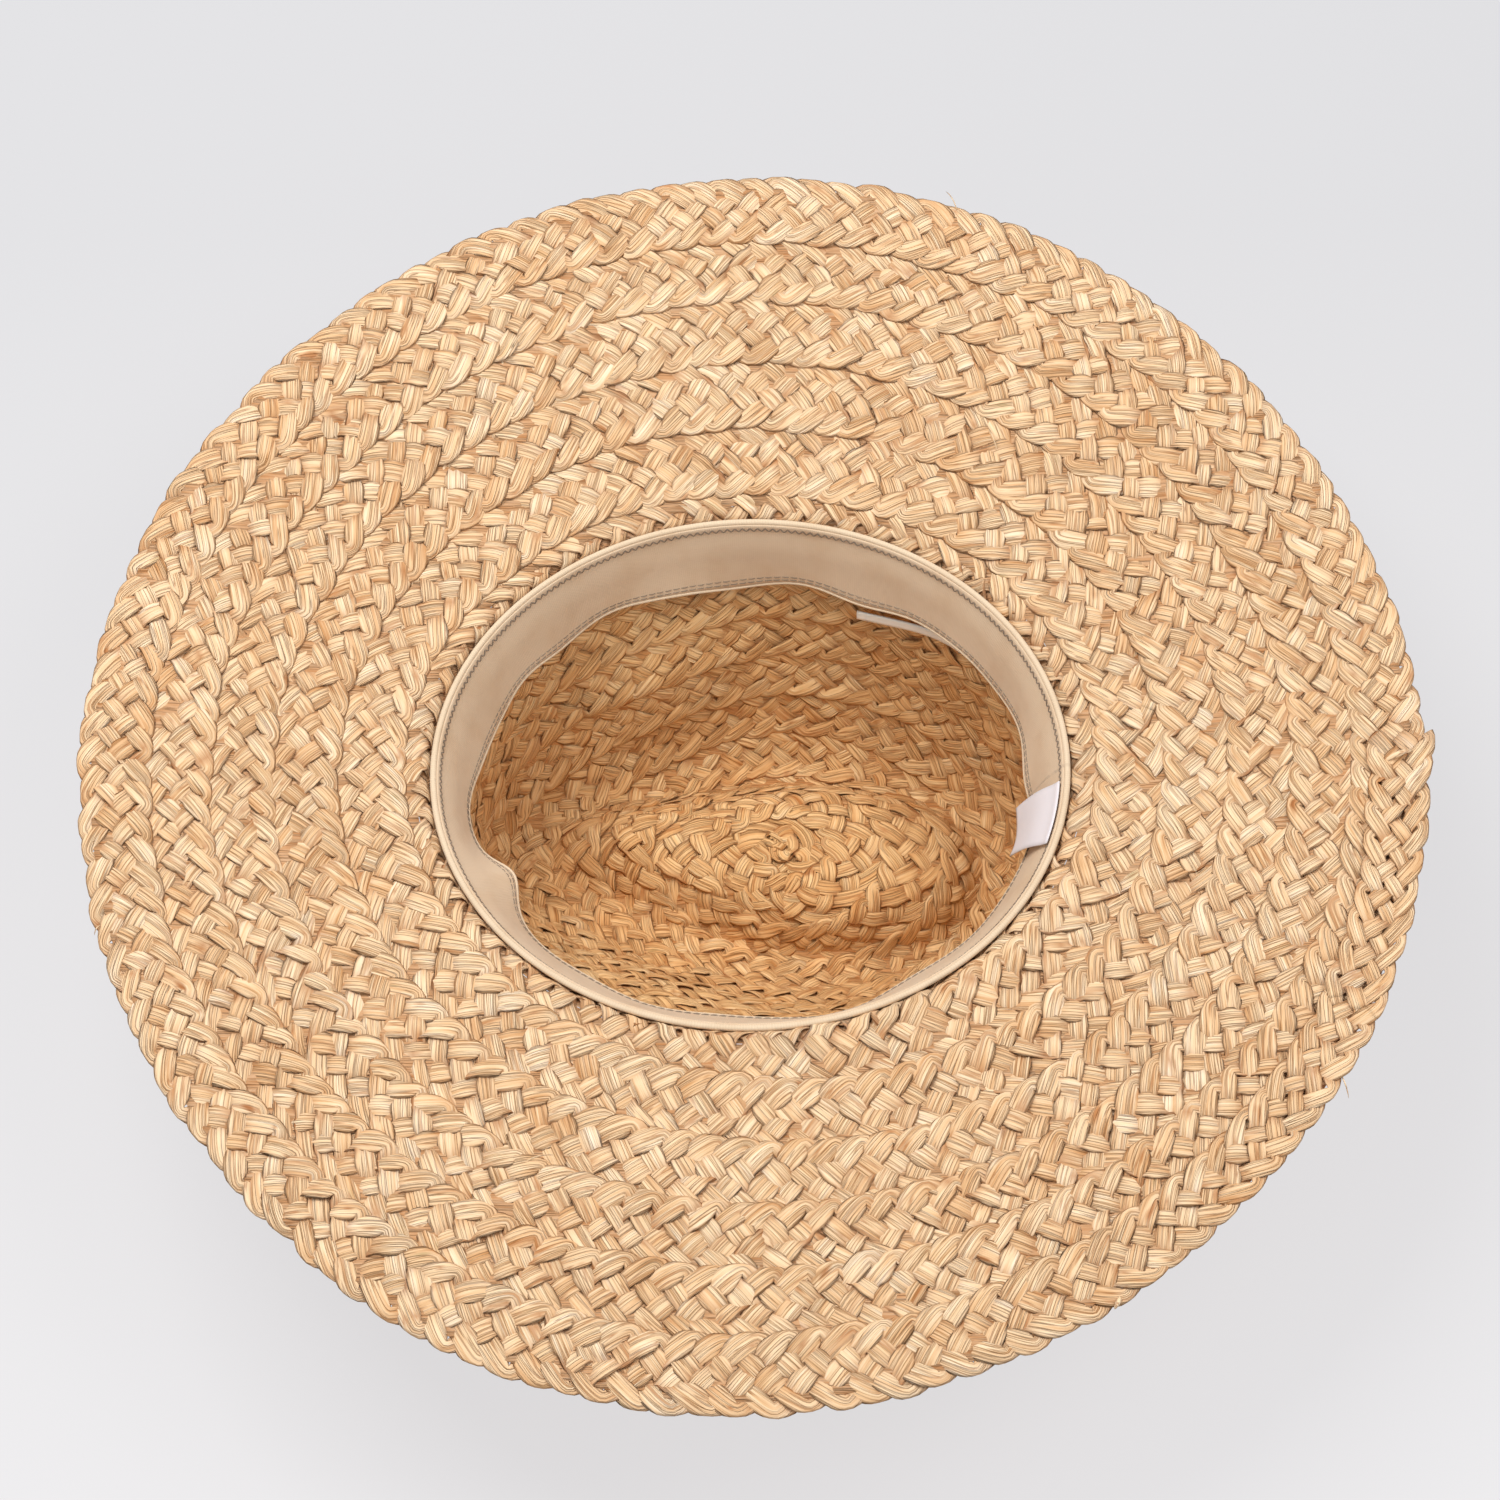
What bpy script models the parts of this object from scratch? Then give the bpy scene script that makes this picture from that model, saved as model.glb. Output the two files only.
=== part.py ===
"""Straw beach hat lying on its crown, underside up.

Metres, +Z up. The floor is z = 0, +X points to the back of the hat and -X to its front.
Every surface is a function of two shares: the way from the crown's tip outwards, and the turn
round the head, which starts at the back and goes to +Y.
"""

import math
from collections import namedtuple

import bmesh
import bpy
import numpy as np

# Head opening, measured inside the straw
HEAD_LENGTH = 0.2006
HEAD_WIDTH = 0.1722

# Crown
CROWN_HEIGHT = 0.100
DENT_DEPTH = 0.020
STRAW_WALL = 0.0026
BEND_REACH = 0.0040  # how far the crown's edge turns out under the brim
PINCH_DEPTH = 0.009
PINCH_TO_FRONT = 0.034  # from the middle of the head to the deepest point of a pinch
PINCH_ABOVE_FLOOR = 0.038
PINCH_LENGTH = 0.030
PINCH_HEIGHT = 0.022
DENT_LEAN = 0.011  # the front of the dent lies this far to the +Y side

# Brim
BRIM_LENGTH = 0.4228
BRIM_WIDTH = 0.4202
BRIM_RISE = 0.0150
BRIM_WAVE = 0.0016
BRIM_SQUARENESS = 0.00125
BRIM_SQUARE_TURN = -9.2  # degrees from the back to the middle of one of its four corners
BRIM_ROWS = 5
FIRST_ROW_SHOWS = 0.24  # share of the brim's reach, at the head opening
LAST_ROW_SHOWS = 0.20
ROW_STEP = 0.0010  # height of the step where one row of plait laps the next
ROW_LAP = 0.0028
STEP_RUN = 0.0009
CROWN_SIDE_ROWS = 5

# Cut end of the plait, laid on the last row
BRAID_WIDTH = 0.0235
BRAID_END_LENGTH = 0.080
BRAID_END_THICKNESS = 0.0018
BRAID_END_PROUD = 0.0030
BRAID_END_TURN = 0.7  # degrees round the head, from the back

# Sweatband
BAND_HEIGHT = 0.028
BAND_THICKNESS = 0.0010
BAND_ABOVE_EDGE = 0.0012
BAND_OFF_SIDES = 0.0016  # how far its free edge stands off the crown at the sides
BAND_OFF_ENDS = 0.0062
BAND_RIPPLE = 0.0008
BAND_FOLD_DEPTH = 0.0080
BAND_FOLD_TURN = 206.0
BAND_FOLD_SPREAD = 7.0

# Care label
LABEL_WIDTH = 0.022
LABEL_LENGTH = 0.027
LABEL_THICKNESS = 0.0005
LABEL_TURN = -11.2
LABEL_STAND_OFF = 0.0032
LABEL_SEAT = 0.0002

# Size tape
TAPE_WIDTH = 0.0035
TAPE_THICKNESS = 0.0006
TAPE_START_TURN = 30.0
TAPE_END_TURN = 69.0
TAPE_START_BELOW = 0.026  # below the crown's edge
TAPE_END_BELOW = 0.0345
TAPE_OFF_WALL = 0.0006

CLEARANCE = 0.0003

CROWN_TURNS = 72
BRIM_TURNS = 96

# The wall stands outside the head opening
HALF_LENGTH = HEAD_LENGTH / 2 + STRAW_WALL
HALF_WIDTH = HEAD_WIDTH / 2 + STRAW_WALL

# The braid end stands past the rim at the back, so the hat moves forward by half of that
MIDDLE_X = -BRAID_END_PROUD / 2

# Sections of the crown's outside from the tip to the edge of the opening.
#   way              share of the way from the tip to the edge
#   front, back      reach from the middle, as shares of HALF_LENGTH
#   side             reach sideways, as a share of HALF_WIDTH
#   rise             height as a share of CROWN_HEIGHT
#   dent             further height as a share of DENT_DEPTH
#   narrow           how much narrower the front is than the back
#   lean             sideways shift of the front, as a share of DENT_LEAN
Section = namedtuple("Section", "name way front back side rise dent narrow lean")
CROWN_SECTIONS = (
    Section("tip", 0.00, -0.10, 0.10, 0.00, 0.00, 1.00, 0.00, 0.30),
    Section("plateau", 0.09, 0.16, 0.34, 0.16, 0.00, 0.98, 0.20, 0.60),
    Section("plateau edge", 0.17, 0.42, 0.56, 0.29, 0.00, 0.82, 0.45, 0.90),
    Section("dent wall", 0.23, 0.58, 0.68, 0.37, 0.00, 0.45, 0.50, 1.00),
    Section("dent foot", 0.28, 0.69, 0.745, 0.43, 0.00, 0.09, 0.50, 1.00),
    Section("ridge inside", 0.305, 0.74, 0.785, 0.47, 0.00, 0.00, 0.48, 1.00),
    Section("ridge outside", 0.335, 0.79, 0.835, 0.52, 0.00, 0.00, 0.45, 1.00),
    Section("shoulder", 0.41, 0.88, 0.905, 0.64, 0.075, 0.00, 0.34, 0.85),
    Section("low wall", 0.53, 0.93, 0.950, 0.75, 0.25, 0.00, 0.20, 0.50),
    Section("middle wall", 0.66, 0.955, 0.970, 0.84, 0.46, 0.00, 0.09, 0.20),
    Section("high wall", 0.80, 0.975, 0.985, 0.92, 0.71, 0.00, 0.02, 0.00),
    Section("upper wall", 0.90, 0.990, 0.993, 0.975, 0.88, 0.00, 0.00, 0.00),
    Section("bend", 0.96, 1.0, 1.0, 1.0, 0.975, 0.00, 0.00, 0.00),
    Section("flat", 0.988, 1.0, 1.0, 1.0, 1.0, 0.00, 0.00, 0.00),
    Section("edge", 1.00, 1.0, 1.0, 1.0, 1.0, 0.00, 0.00, 0.00),
)
CROWN_WAYS = [section.way for section in CROWN_SECTIONS]
CROWN_MARKS = {section.name: section for section in CROWN_SECTIONS}
BEND_STARTS = CROWN_MARKS["upper wall"].way

# Profile of the brim: share of the way to the rim, and share of BRIM_RISE
BrimSection = namedtuple("BrimSection", "way rise")
BRIM_SECTIONS = (
    BrimSection(0.00, 0.00),
    BrimSection(0.12, 0.04),
    BrimSection(0.40, 0.32),
    BrimSection(0.75, 0.74),
    BrimSection(1.00, 1.00),
)
BRIM_WAYS = [section.way for section in BRIM_SECTIONS]


def clear_scene():
    for thing in list(bpy.data.objects):
        bpy.data.objects.remove(thing, do_unlink=True)


def material(name, colour, roughness):
    made = bpy.data.materials.new(name)
    made.use_nodes = True
    shader = made.node_tree.nodes["Principled BSDF"]
    shader.inputs["Base Color"].default_value = (*colour, 1.0)
    shader.inputs["Roughness"].default_value = roughness
    shader.inputs["Metallic"].default_value = 0.0
    return made


def eased(ways, values, way):
    """Smooth curve through the table's values that never overshoots between two of them."""
    x = np.asarray(ways, float)
    y = np.asarray(values, float)
    gaps = np.diff(x)
    slopes = np.diff(y) / gaps
    level = slopes[:-1] * slopes[1:] <= 0
    sums = np.where(level, 1.0, slopes[:-1] + slopes[1:])
    inner = np.where(level, 0.0, 2 * slopes[:-1] * slopes[1:] / sums)
    tangents = np.concatenate([[slopes[0]], inner, [slopes[-1]]])
    way = np.asarray(way, float)
    cell = np.clip(np.searchsorted(x, way, side="right") - 1, 0, len(gaps) - 1)
    gap = gaps[cell]
    t = (way - x[cell]) / gap
    return (
        (2 * t**3 - 3 * t**2 + 1) * y[cell]
        + (t**3 - 2 * t**2 + t) * gap * tangents[cell]
        + (3 * t**2 - 2 * t**3) * y[cell + 1]
        + (t**3 - t**2) * gap * tangents[cell + 1]
    )


def crown_column(column, way):
    return eased(CROWN_WAYS, [getattr(section, column) for section in CROWN_SECTIONS], way)


def crown_outside(way, turn):
    """Point on the crown's outside. A section is an oval with its own reach to the front,
    back and sides, narrowed and leaned towards the front like a teardrop."""
    cos, sin = np.cos(turn), np.sin(turn)
    front = crown_column("front", way)
    back = crown_column("back", way)
    forward = (1 - cos) / 2
    x = HALF_LENGTH * ((back - front) / 2 + (back + front) / 2 * cos)
    y = HALF_WIDTH * crown_column("side", way) * sin
    y = y * (1 - crown_column("narrow", way) * forward)
    y = y + DENT_LEAN * crown_column("lean", way) * forward**2
    z = CROWN_HEIGHT * crown_column("rise", way) + DENT_DEPTH * crown_column("dent", way)
    along = (x + PINCH_TO_FRONT) / PINCH_LENGTH
    up = (z - PINCH_ABOVE_FLOOR) / PINCH_HEIGHT
    y = y - PINCH_DEPTH * sin * np.exp(-(along**2) - up**2)
    turned_out = BEND_REACH * np.clip((way - BEND_STARTS) / (1 - BEND_STARTS), 0, 1) ** 2
    return np.stack([MIDDLE_X + x + turned_out * cos, y + turned_out * sin, z], -1)


def brim_outside(way, turn):
    """Point on the side of the brim that faces the floor. The brim runs straight out from the
    crown's edge to the rim, which is an oval that is a little square."""
    cos, sin = np.cos(turn), np.sin(turn)
    corners = np.cos(4 * (turn - math.radians(BRIM_SQUARE_TURN)))
    squareness = 1 + BRIM_SQUARENESS / (BRIM_LENGTH / 2) * corners
    start = BEND_REACH + CLEARANCE
    x = (HALF_LENGTH + start) * (1 - way) + BRIM_LENGTH / 2 * squareness * way
    y = (HALF_WIDTH + start) * (1 - way) + BRIM_WIDTH / 2 * squareness * way
    rise = eased(BRIM_WAYS, [section.rise for section in BRIM_SECTIONS], way)
    wave = BRIM_WAVE * way**2 * np.sin(3 * turn + 0.6)
    return np.stack([MIDDLE_X + x * cos, y * sin, CROWN_HEIGHT + BRIM_RISE * rise + wave], -1)


def inward(surface, way, turn):
    """Unit vector off the outside of a surface, towards the head or, on the brim, up."""
    small = 1e-4
    along = surface(way + small, turn) - surface(way - small, turn)
    around = surface(way, turn + small) - surface(way, turn - small)
    across = np.cross(along, around)
    length = np.linalg.norm(across, axis=-1, keepdims=True)
    return np.where(length > 1e-14, across / np.maximum(length, 1e-14), [0.0, 0.0, 1.0])


def off_surface(surface, way, turn, distance):
    way, turn, distance = np.broadcast_arrays(way, turn, distance)
    return surface(way, turn) + inward(surface, way, turn) * distance[..., None]


def lapped_rows(starts, run):
    """(way, height) of a sawtooth: each row starts high, on top of the row before it, and
    falls to its far edge, where the next row's step begins."""
    ways, heights = [], []
    for row, (start, end) in enumerate(zip(starts[:-1], starts[1:])):
        ways += [start + (run if row else 0), end]
        heights += [ROW_STEP / 2, -ROW_STEP / 2]
    return np.array(ways), np.array(heights)


def solid(name, points, faces, coating):
    mesh = bpy.data.meshes.new(name)
    mesh.from_pydata([tuple(p) for p in points], [], faces)
    work = bmesh.new()
    work.from_mesh(mesh)
    bmesh.ops.recalc_face_normals(work, faces=work.faces)
    work.to_mesh(mesh)
    work.free()
    mesh.materials.append(coating)
    mesh.shade_smooth()
    mesh.set_sharp_from_angle(angle=math.radians(40))
    made = bpy.data.objects.new(name, mesh)
    bpy.context.scene.collection.objects.link(made)
    return made


def ring_faces(rings, count, closed):
    """Quads between rings of count points each, round from the last ring to the first if closed."""
    faces = []
    for i in range(rings if closed else rings - 1):
        below, above = i * count, (i + 1) % rings * count
        for j in range(count):
            k = (j + 1) % count
            faces.append((below + j, below + k, above + k, above + j))
    return faces


def domed_solid(name, grid, coating):
    """Closed body whose first and last rings are drawn together to a point each."""
    rings, count = grid.shape[:2]
    points = np.concatenate([grid[1:-1].reshape(-1, 3), grid[0, :1], grid[-1, :1]])
    faces = ring_faces(rings - 2, count, closed=False)
    first, last = len(points) - 2, len(points) - 1
    top = (rings - 3) * count
    for j in range(count):
        k = (j + 1) % count
        faces.append((first, k, j))
        faces.append((last, top + j, top + k))
    return solid(name, points, faces, coating)


def hoop_solid(name, grid, coating):
    """Closed body swept once round: each ring of the grid is one section's outline."""
    rings, count = grid.shape[:2]
    return solid(name, grid.reshape(-1, 3), ring_faces(rings, count, closed=True), coating)


def strip_solid(name, upper, lower, coating):
    """Closed body between two open grids of the same size."""
    outline = np.concatenate([upper, lower[:, ::-1]], axis=1)
    rings, count = outline.shape[:2]
    faces = ring_faces(rings, count, closed=False)
    half = count // 2
    for start in (0, (rings - 1) * count):
        for j in range(half - 1):
            left, right = start + j, start + count - 1 - j
            faces.append((left, left + 1, right - 1, right))
    return solid(name, outline.reshape(-1, 3), faces, coating)


def full_turn(count):
    return np.arange(count) * (2 * math.pi / count)


def make_crown(straw):
    """Smooth through the dent and the ridge, with lapped rows of plait on the side wall."""
    turn = full_turn(CROWN_TURNS)
    shoulder, bend = CROWN_MARKS["shoulder"].way, CROWN_MARKS["bend"].way
    wall = bend - shoulder
    starts = [shoulder + wall * row / CROWN_SIDE_ROWS for row in range(CROWN_SIDE_ROWS + 1)]
    side_ways, side_heights = lapped_rows(starts, wall * STEP_RUN / CROWN_HEIGHT)
    smooth = [way for way in CROWN_WAYS if way < shoulder]
    edge = [way for way in CROWN_WAYS if way > bend]
    ways = np.concatenate([smooth, side_ways, edge])
    heights = np.concatenate([np.zeros(len(smooth)), side_heights, np.zeros(len(edge))])
    outside = off_surface(crown_outside, ways[:, None], turn[None], heights[:, None])
    inside = off_surface(crown_outside, ways[:, None], turn[None], (heights + STRAW_WALL)[:, None])
    return domed_solid("crown", np.concatenate([outside, inside[::-1]]), straw)


def brim_row_starts():
    """Inner edges of the rows, as ways on the brim. The first row comes round the bend
    and the last, which nothing laps, shows its whole width."""
    even = np.linspace(FIRST_ROW_SHOWS, 1 - LAST_ROW_SHOWS, BRIM_ROWS - 1)
    return np.concatenate([[0.0], even, [1.0]])


def brim_reach():
    """Width of the brim from the crown to the rim, at the back."""
    return BRIM_LENGTH / 2 - HALF_LENGTH - BEND_REACH - CLEARANCE


def make_brim(straw):
    """Rows of plait lapped outwards. The rows' edges on the floor side lie one lap further out."""
    turn = full_turn(BRIM_TURNS)
    ways, heights = lapped_rows(brim_row_starts(), STEP_RUN / brim_reach())
    lap = ROW_LAP / brim_reach()
    shifted = np.where((ways > 0) & (ways < 1), ways + lap, ways)
    under = off_surface(brim_outside, ways, turn[:, None], heights + STRAW_WALL)
    over = off_surface(brim_outside, shifted, turn[:, None], heights)
    return hoop_solid("brim", np.concatenate([under, over[:, ::-1]], axis=1), straw)


def make_braid_end(straw):
    """Cut end of the plait on the last row, standing proud of the rim at the cut."""
    rim_reach = BRIM_LENGTH / 2
    cut = math.radians(BRAID_END_TURN)
    turn = np.linspace(cut, cut - BRAID_END_LENGTH / rim_reach, 9)[:, None]
    proud = BRAID_END_PROUD * np.linspace(1, 0, 9)[:, None]
    outer = 1 + proud / brim_reach()
    across = np.linspace(0, 1, 5)[None]
    ways = outer - (1 - across) * BRAID_WIDTH / brim_reach()
    row_ways, row_heights = lapped_rows(brim_row_starts(), STEP_RUN / brim_reach())
    seat = STRAW_WALL + CLEARANCE + np.interp(ways, row_ways[-2:], row_heights[-2:])
    lower = off_surface(brim_outside, ways, turn, seat)
    upper = off_surface(brim_outside, ways, turn, seat + BRAID_END_THICKNESS)
    return strip_solid("braid_end", upper, lower, straw)


def way_below_edge(drop):
    """Way on the crown at a height drop under its edge, read back from the table."""
    ways = np.linspace(CROWN_MARKS["ridge outside"].way, CROWN_MARKS["flat"].way, 400)
    heights = CROWN_HEIGHT * crown_column("rise", ways)
    return np.interp(CROWN_HEIGHT - np.asarray(drop, float), heights, ways)


def band_stand_off(drop, turn):
    """Distance from the crown's inside to the sweatband's outer face. The band is sewn at its
    top and leans away from the crown to its free edge, with ripples and one fold."""
    share = np.clip((drop + BAND_ABOVE_EDGE) / BAND_HEIGHT, 0, None)
    off = BAND_OFF_SIDES + (BAND_OFF_ENDS - BAND_OFF_SIDES) * np.cos(turn) ** 2
    ripple = BAND_RIPPLE * (np.sin(7 * turn + 1.0) + np.sin(11 * turn))
    apart = (turn - math.radians(BAND_FOLD_TURN) + math.pi) % (2 * math.pi) - math.pi
    fold = BAND_FOLD_DEPTH * np.exp(-((apart / math.radians(BAND_FOLD_SPREAD)) ** 2))
    return CLEARANCE + share * (off + ripple * share) + fold * share**2


def inside_band(drop, turn, distance):
    """Point at a distance off the crown's inside wall, drop under the opening's edge."""
    drop, turn, distance = np.broadcast_arrays(drop, turn, distance)
    way = way_below_edge(np.maximum(drop, CROWN_HEIGHT * (1 - CROWN_MARKS["bend"].rise)))
    flat = inward(crown_outside, way, turn)
    flat[..., 2] = 0
    flat /= np.linalg.norm(flat, axis=-1, keepdims=True)
    point = crown_outside(way, turn) + flat * (STRAW_WALL + distance)[..., None]
    point[..., 2] = CROWN_HEIGHT - drop
    return point


def make_sweatband(ribbon):
    turn = full_turn(CROWN_TURNS)[:, None]
    drop = np.linspace(-BAND_ABOVE_EDGE, BAND_HEIGHT - BAND_ABOVE_EDGE, 5)[None]
    off = band_stand_off(drop, turn)
    outer = inside_band(drop, turn, off + ROW_STEP / 2)
    inner = inside_band(drop, turn, off + ROW_STEP / 2 + BAND_THICKNESS)
    return hoop_solid("sweatband", np.concatenate([inner, outer[:, ::-1]], axis=1), ribbon)


def make_care_label(paper):
    """Blank label sewn under the band's top edge, hanging down over the band's inner face."""
    middle = math.radians(LABEL_TURN)
    half = LABEL_WIDTH / HEAD_WIDTH
    turn = np.linspace(middle - half, middle + half, 4)[:, None]
    share = np.linspace(0, 1, 6)[None]
    drop = LABEL_LENGTH * share
    off = band_stand_off(drop, turn) + ROW_STEP / 2 + BAND_THICKNESS + CLEARANCE
    off = off + LABEL_SEAT + LABEL_STAND_OFF * np.sin(share * math.pi / 2)
    lower = inside_band(drop, turn, off)
    upper = inside_band(drop, turn, off + LABEL_THICKNESS)
    return strip_solid("care_label", upper, lower, paper)


def make_size_tape(tape):
    """Narrow tape that comes out from behind the band and lies along the crown's wall."""
    start, end = math.radians(TAPE_START_TURN), math.radians(TAPE_END_TURN)
    share = np.linspace(0, 1, 13)[:, None]
    turn = start + (end - start) * share
    middle = TAPE_START_BELOW + (TAPE_END_BELOW - TAPE_START_BELOW) * share
    drop = middle + TAPE_WIDTH * np.linspace(-0.5, 0.5, 2)[None]
    off = ROW_STEP / 2 + CLEARANCE + TAPE_OFF_WALL * share
    lower = inside_band(drop, turn, off)
    upper = inside_band(drop, turn, off + TAPE_THICKNESS)
    return strip_solid("size_tape", upper, lower, tape)


def main():
    clear_scene()
    straw = material("straw", (0.70, 0.50, 0.27), 0.62)
    ribbon = material("ribbon", (0.71, 0.61, 0.48), 0.75)
    paper = material("label", (0.86, 0.86, 0.88), 0.70)
    tape = material("tape", (0.84, 0.80, 0.74), 0.60)
    make_crown(straw)
    make_brim(straw)
    make_braid_end(straw)
    make_sweatband(ribbon)
    make_care_label(paper)
    make_size_tape(tape)


main()
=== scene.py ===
# %% [markdown]
# # Straw beach hat
#
# The hat lies on its crown, so the camera looks down on the underside of a wide brim and into the
# open crown. On the real hat a flat plait of raffia, five strands wide, is sewn round in one long
# spiral from the tip of the crown to the rim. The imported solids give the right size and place.
# This lesson works the real plait out strand by strand and lays it along the same surfaces.

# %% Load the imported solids
import math
from collections import namedtuple

import bpy
import numpy as np
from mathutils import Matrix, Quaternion, Vector


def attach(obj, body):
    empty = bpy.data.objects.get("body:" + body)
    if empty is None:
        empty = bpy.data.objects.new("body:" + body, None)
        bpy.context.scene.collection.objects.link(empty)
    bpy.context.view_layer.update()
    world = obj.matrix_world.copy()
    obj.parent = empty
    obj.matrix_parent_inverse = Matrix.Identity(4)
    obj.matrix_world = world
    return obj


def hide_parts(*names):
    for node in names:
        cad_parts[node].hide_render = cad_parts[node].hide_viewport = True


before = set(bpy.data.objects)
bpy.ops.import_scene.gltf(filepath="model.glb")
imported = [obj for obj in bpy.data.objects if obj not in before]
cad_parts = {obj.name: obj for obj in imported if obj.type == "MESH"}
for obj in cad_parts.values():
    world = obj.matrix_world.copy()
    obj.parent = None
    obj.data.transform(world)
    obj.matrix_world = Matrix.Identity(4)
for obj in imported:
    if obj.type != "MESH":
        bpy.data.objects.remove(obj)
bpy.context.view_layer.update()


# %% [markdown]
# The camera comes first. It stands high above the near side of the hat, a little to the right and
# turned a few degrees, as the photograph was taken. It could be placed by eye, but a fit to the
# outlines of the rim and of the head opening is exact, so its angles and distance are set here as
# numbers. A long lens keeps the hat's far and near sides almost alike.

# %% Camera
CAMERA_AZIMUTH = math.radians(3.5155)
CAMERA_ELEVATION = math.radians(67.3548)
CAMERA_ROLL = math.radians(-3.7318)
CAMERA_DISTANCE = 1.05
CAMERA_TARGET = Vector((-0.0013, 0.0049, 0.1026))
FOCAL_PIXELS = 3282.0
IMAGE_PIXELS = 1500.0


def add_object(name, data):
    made = bpy.data.objects.new(name, data)
    bpy.context.scene.collection.objects.link(made)
    return made


def add_camera():
    """The camera looks back along (sin a cos e, -cos a cos e, sin e) and is rolled about that line."""
    level = math.cos(CAMERA_ELEVATION)
    back = Vector((
        math.sin(CAMERA_AZIMUTH) * level,
        -math.cos(CAMERA_AZIMUTH) * level,
        math.sin(CAMERA_ELEVATION),
    ))
    lens = bpy.data.cameras.new("photo_camera")
    lens.sensor_width = 36.0
    lens.lens = FOCAL_PIXELS / IMAGE_PIXELS * lens.sensor_width
    camera = add_object("photo_camera", lens)
    camera.rotation_mode = "QUATERNION"
    camera.rotation_quaternion = Quaternion(-back, -CAMERA_ROLL) @ (-back).to_track_quat("-Z", "Y")
    camera.location = CAMERA_TARGET + back * CAMERA_DISTANCE
    bpy.context.scene.camera = camera
    print("camera at", [round(x, 3) for x in camera.location], "lens", round(lens.lens, 1), "mm")


add_camera()

# %% [markdown]
# Every piece of the hat follows one surface. The crown is an oval bowl with a teardrop dent in its
# top, and the brim is a wide, almost flat ring. Both are functions of two shares: the way outwards
# and the turn round the head. The short table gives the crown's sections from tip to edge, as
# shares of its length, width and height, and a smooth curve is drawn through its columns.

# %% Sizes of the hat, in metres
HEAD_LENGTH = 0.2006
HEAD_WIDTH = 0.1722
CROWN_HEIGHT = 0.100
DENT_DEPTH = 0.020
DENT_LEAN = 0.011
STRAW_WALL = 0.0026
BEND_REACH = 0.0040
PINCH_DEPTH = 0.009
PINCH_TO_FRONT = 0.034
PINCH_ABOVE_FLOOR = 0.038
PINCH_LENGTH = 0.030
PINCH_HEIGHT = 0.022
BRIM_LENGTH = 0.4228
BRIM_WIDTH = 0.4202
BRIM_RISE = 0.0150
BRIM_WAVE = 0.0016
BRIM_SQUARENESS = 0.00125
BRIM_SQUARE_TURN = math.radians(-9.2)
CLEARANCE = 0.0003
BRAID_END_PROUD = 0.0030
HALF_LENGTH = HEAD_LENGTH / 2 + STRAW_WALL
HALF_WIDTH = HEAD_WIDTH / 2 + STRAW_WALL
MIDDLE_X = -BRAID_END_PROUD / 2

Section = namedtuple("Section", "name way front back side rise dent narrow lean")
CROWN_SECTIONS = (
    Section("tip", 0.00, -0.10, 0.10, 0.00, 0.00, 1.00, 0.00, 0.30),
    Section("plateau", 0.09, 0.16, 0.34, 0.16, 0.00, 0.98, 0.20, 0.60),
    Section("plateau edge", 0.17, 0.42, 0.56, 0.29, 0.00, 0.82, 0.45, 0.90),
    Section("dent wall", 0.23, 0.58, 0.68, 0.37, 0.00, 0.45, 0.50, 1.00),
    Section("dent foot", 0.28, 0.69, 0.745, 0.43, 0.00, 0.09, 0.50, 1.00),
    Section("ridge inside", 0.305, 0.74, 0.785, 0.47, 0.00, 0.00, 0.48, 1.00),
    Section("ridge outside", 0.335, 0.79, 0.835, 0.52, 0.00, 0.00, 0.45, 1.00),
    Section("shoulder", 0.41, 0.88, 0.905, 0.64, 0.075, 0.00, 0.34, 0.85),
    Section("low wall", 0.53, 0.93, 0.950, 0.75, 0.25, 0.00, 0.20, 0.50),
    Section("middle wall", 0.66, 0.955, 0.970, 0.84, 0.46, 0.00, 0.09, 0.20),
    Section("high wall", 0.80, 0.975, 0.985, 0.92, 0.71, 0.00, 0.02, 0.00),
    Section("upper wall", 0.90, 0.990, 0.993, 0.975, 0.88, 0.00, 0.00, 0.00),
    Section("bend", 0.96, 1.0, 1.0, 1.0, 0.975, 0.00, 0.00, 0.00),
    Section("flat", 0.988, 1.0, 1.0, 1.0, 1.0, 0.00, 0.00, 0.00),
    Section("edge", 1.00, 1.0, 1.0, 1.0, 1.0, 0.00, 0.00, 0.00),
)
CROWN_WAYS = [section.way for section in CROWN_SECTIONS]
CROWN_MARKS = {section.name: section for section in CROWN_SECTIONS}
BEND_STARTS = CROWN_MARKS["upper wall"].way
BrimSection = namedtuple("BrimSection", "way rise")
BRIM_SECTIONS = (
    BrimSection(0.00, 0.00),
    BrimSection(0.12, 0.04),
    BrimSection(0.40, 0.32),
    BrimSection(0.75, 0.74),
    BrimSection(1.00, 1.00),
)
print("head opening", HEAD_LENGTH, "x", HEAD_WIDTH, "brim", BRIM_LENGTH, "x", BRIM_WIDTH)

# %% The crown's and the brim's surfaces


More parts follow.
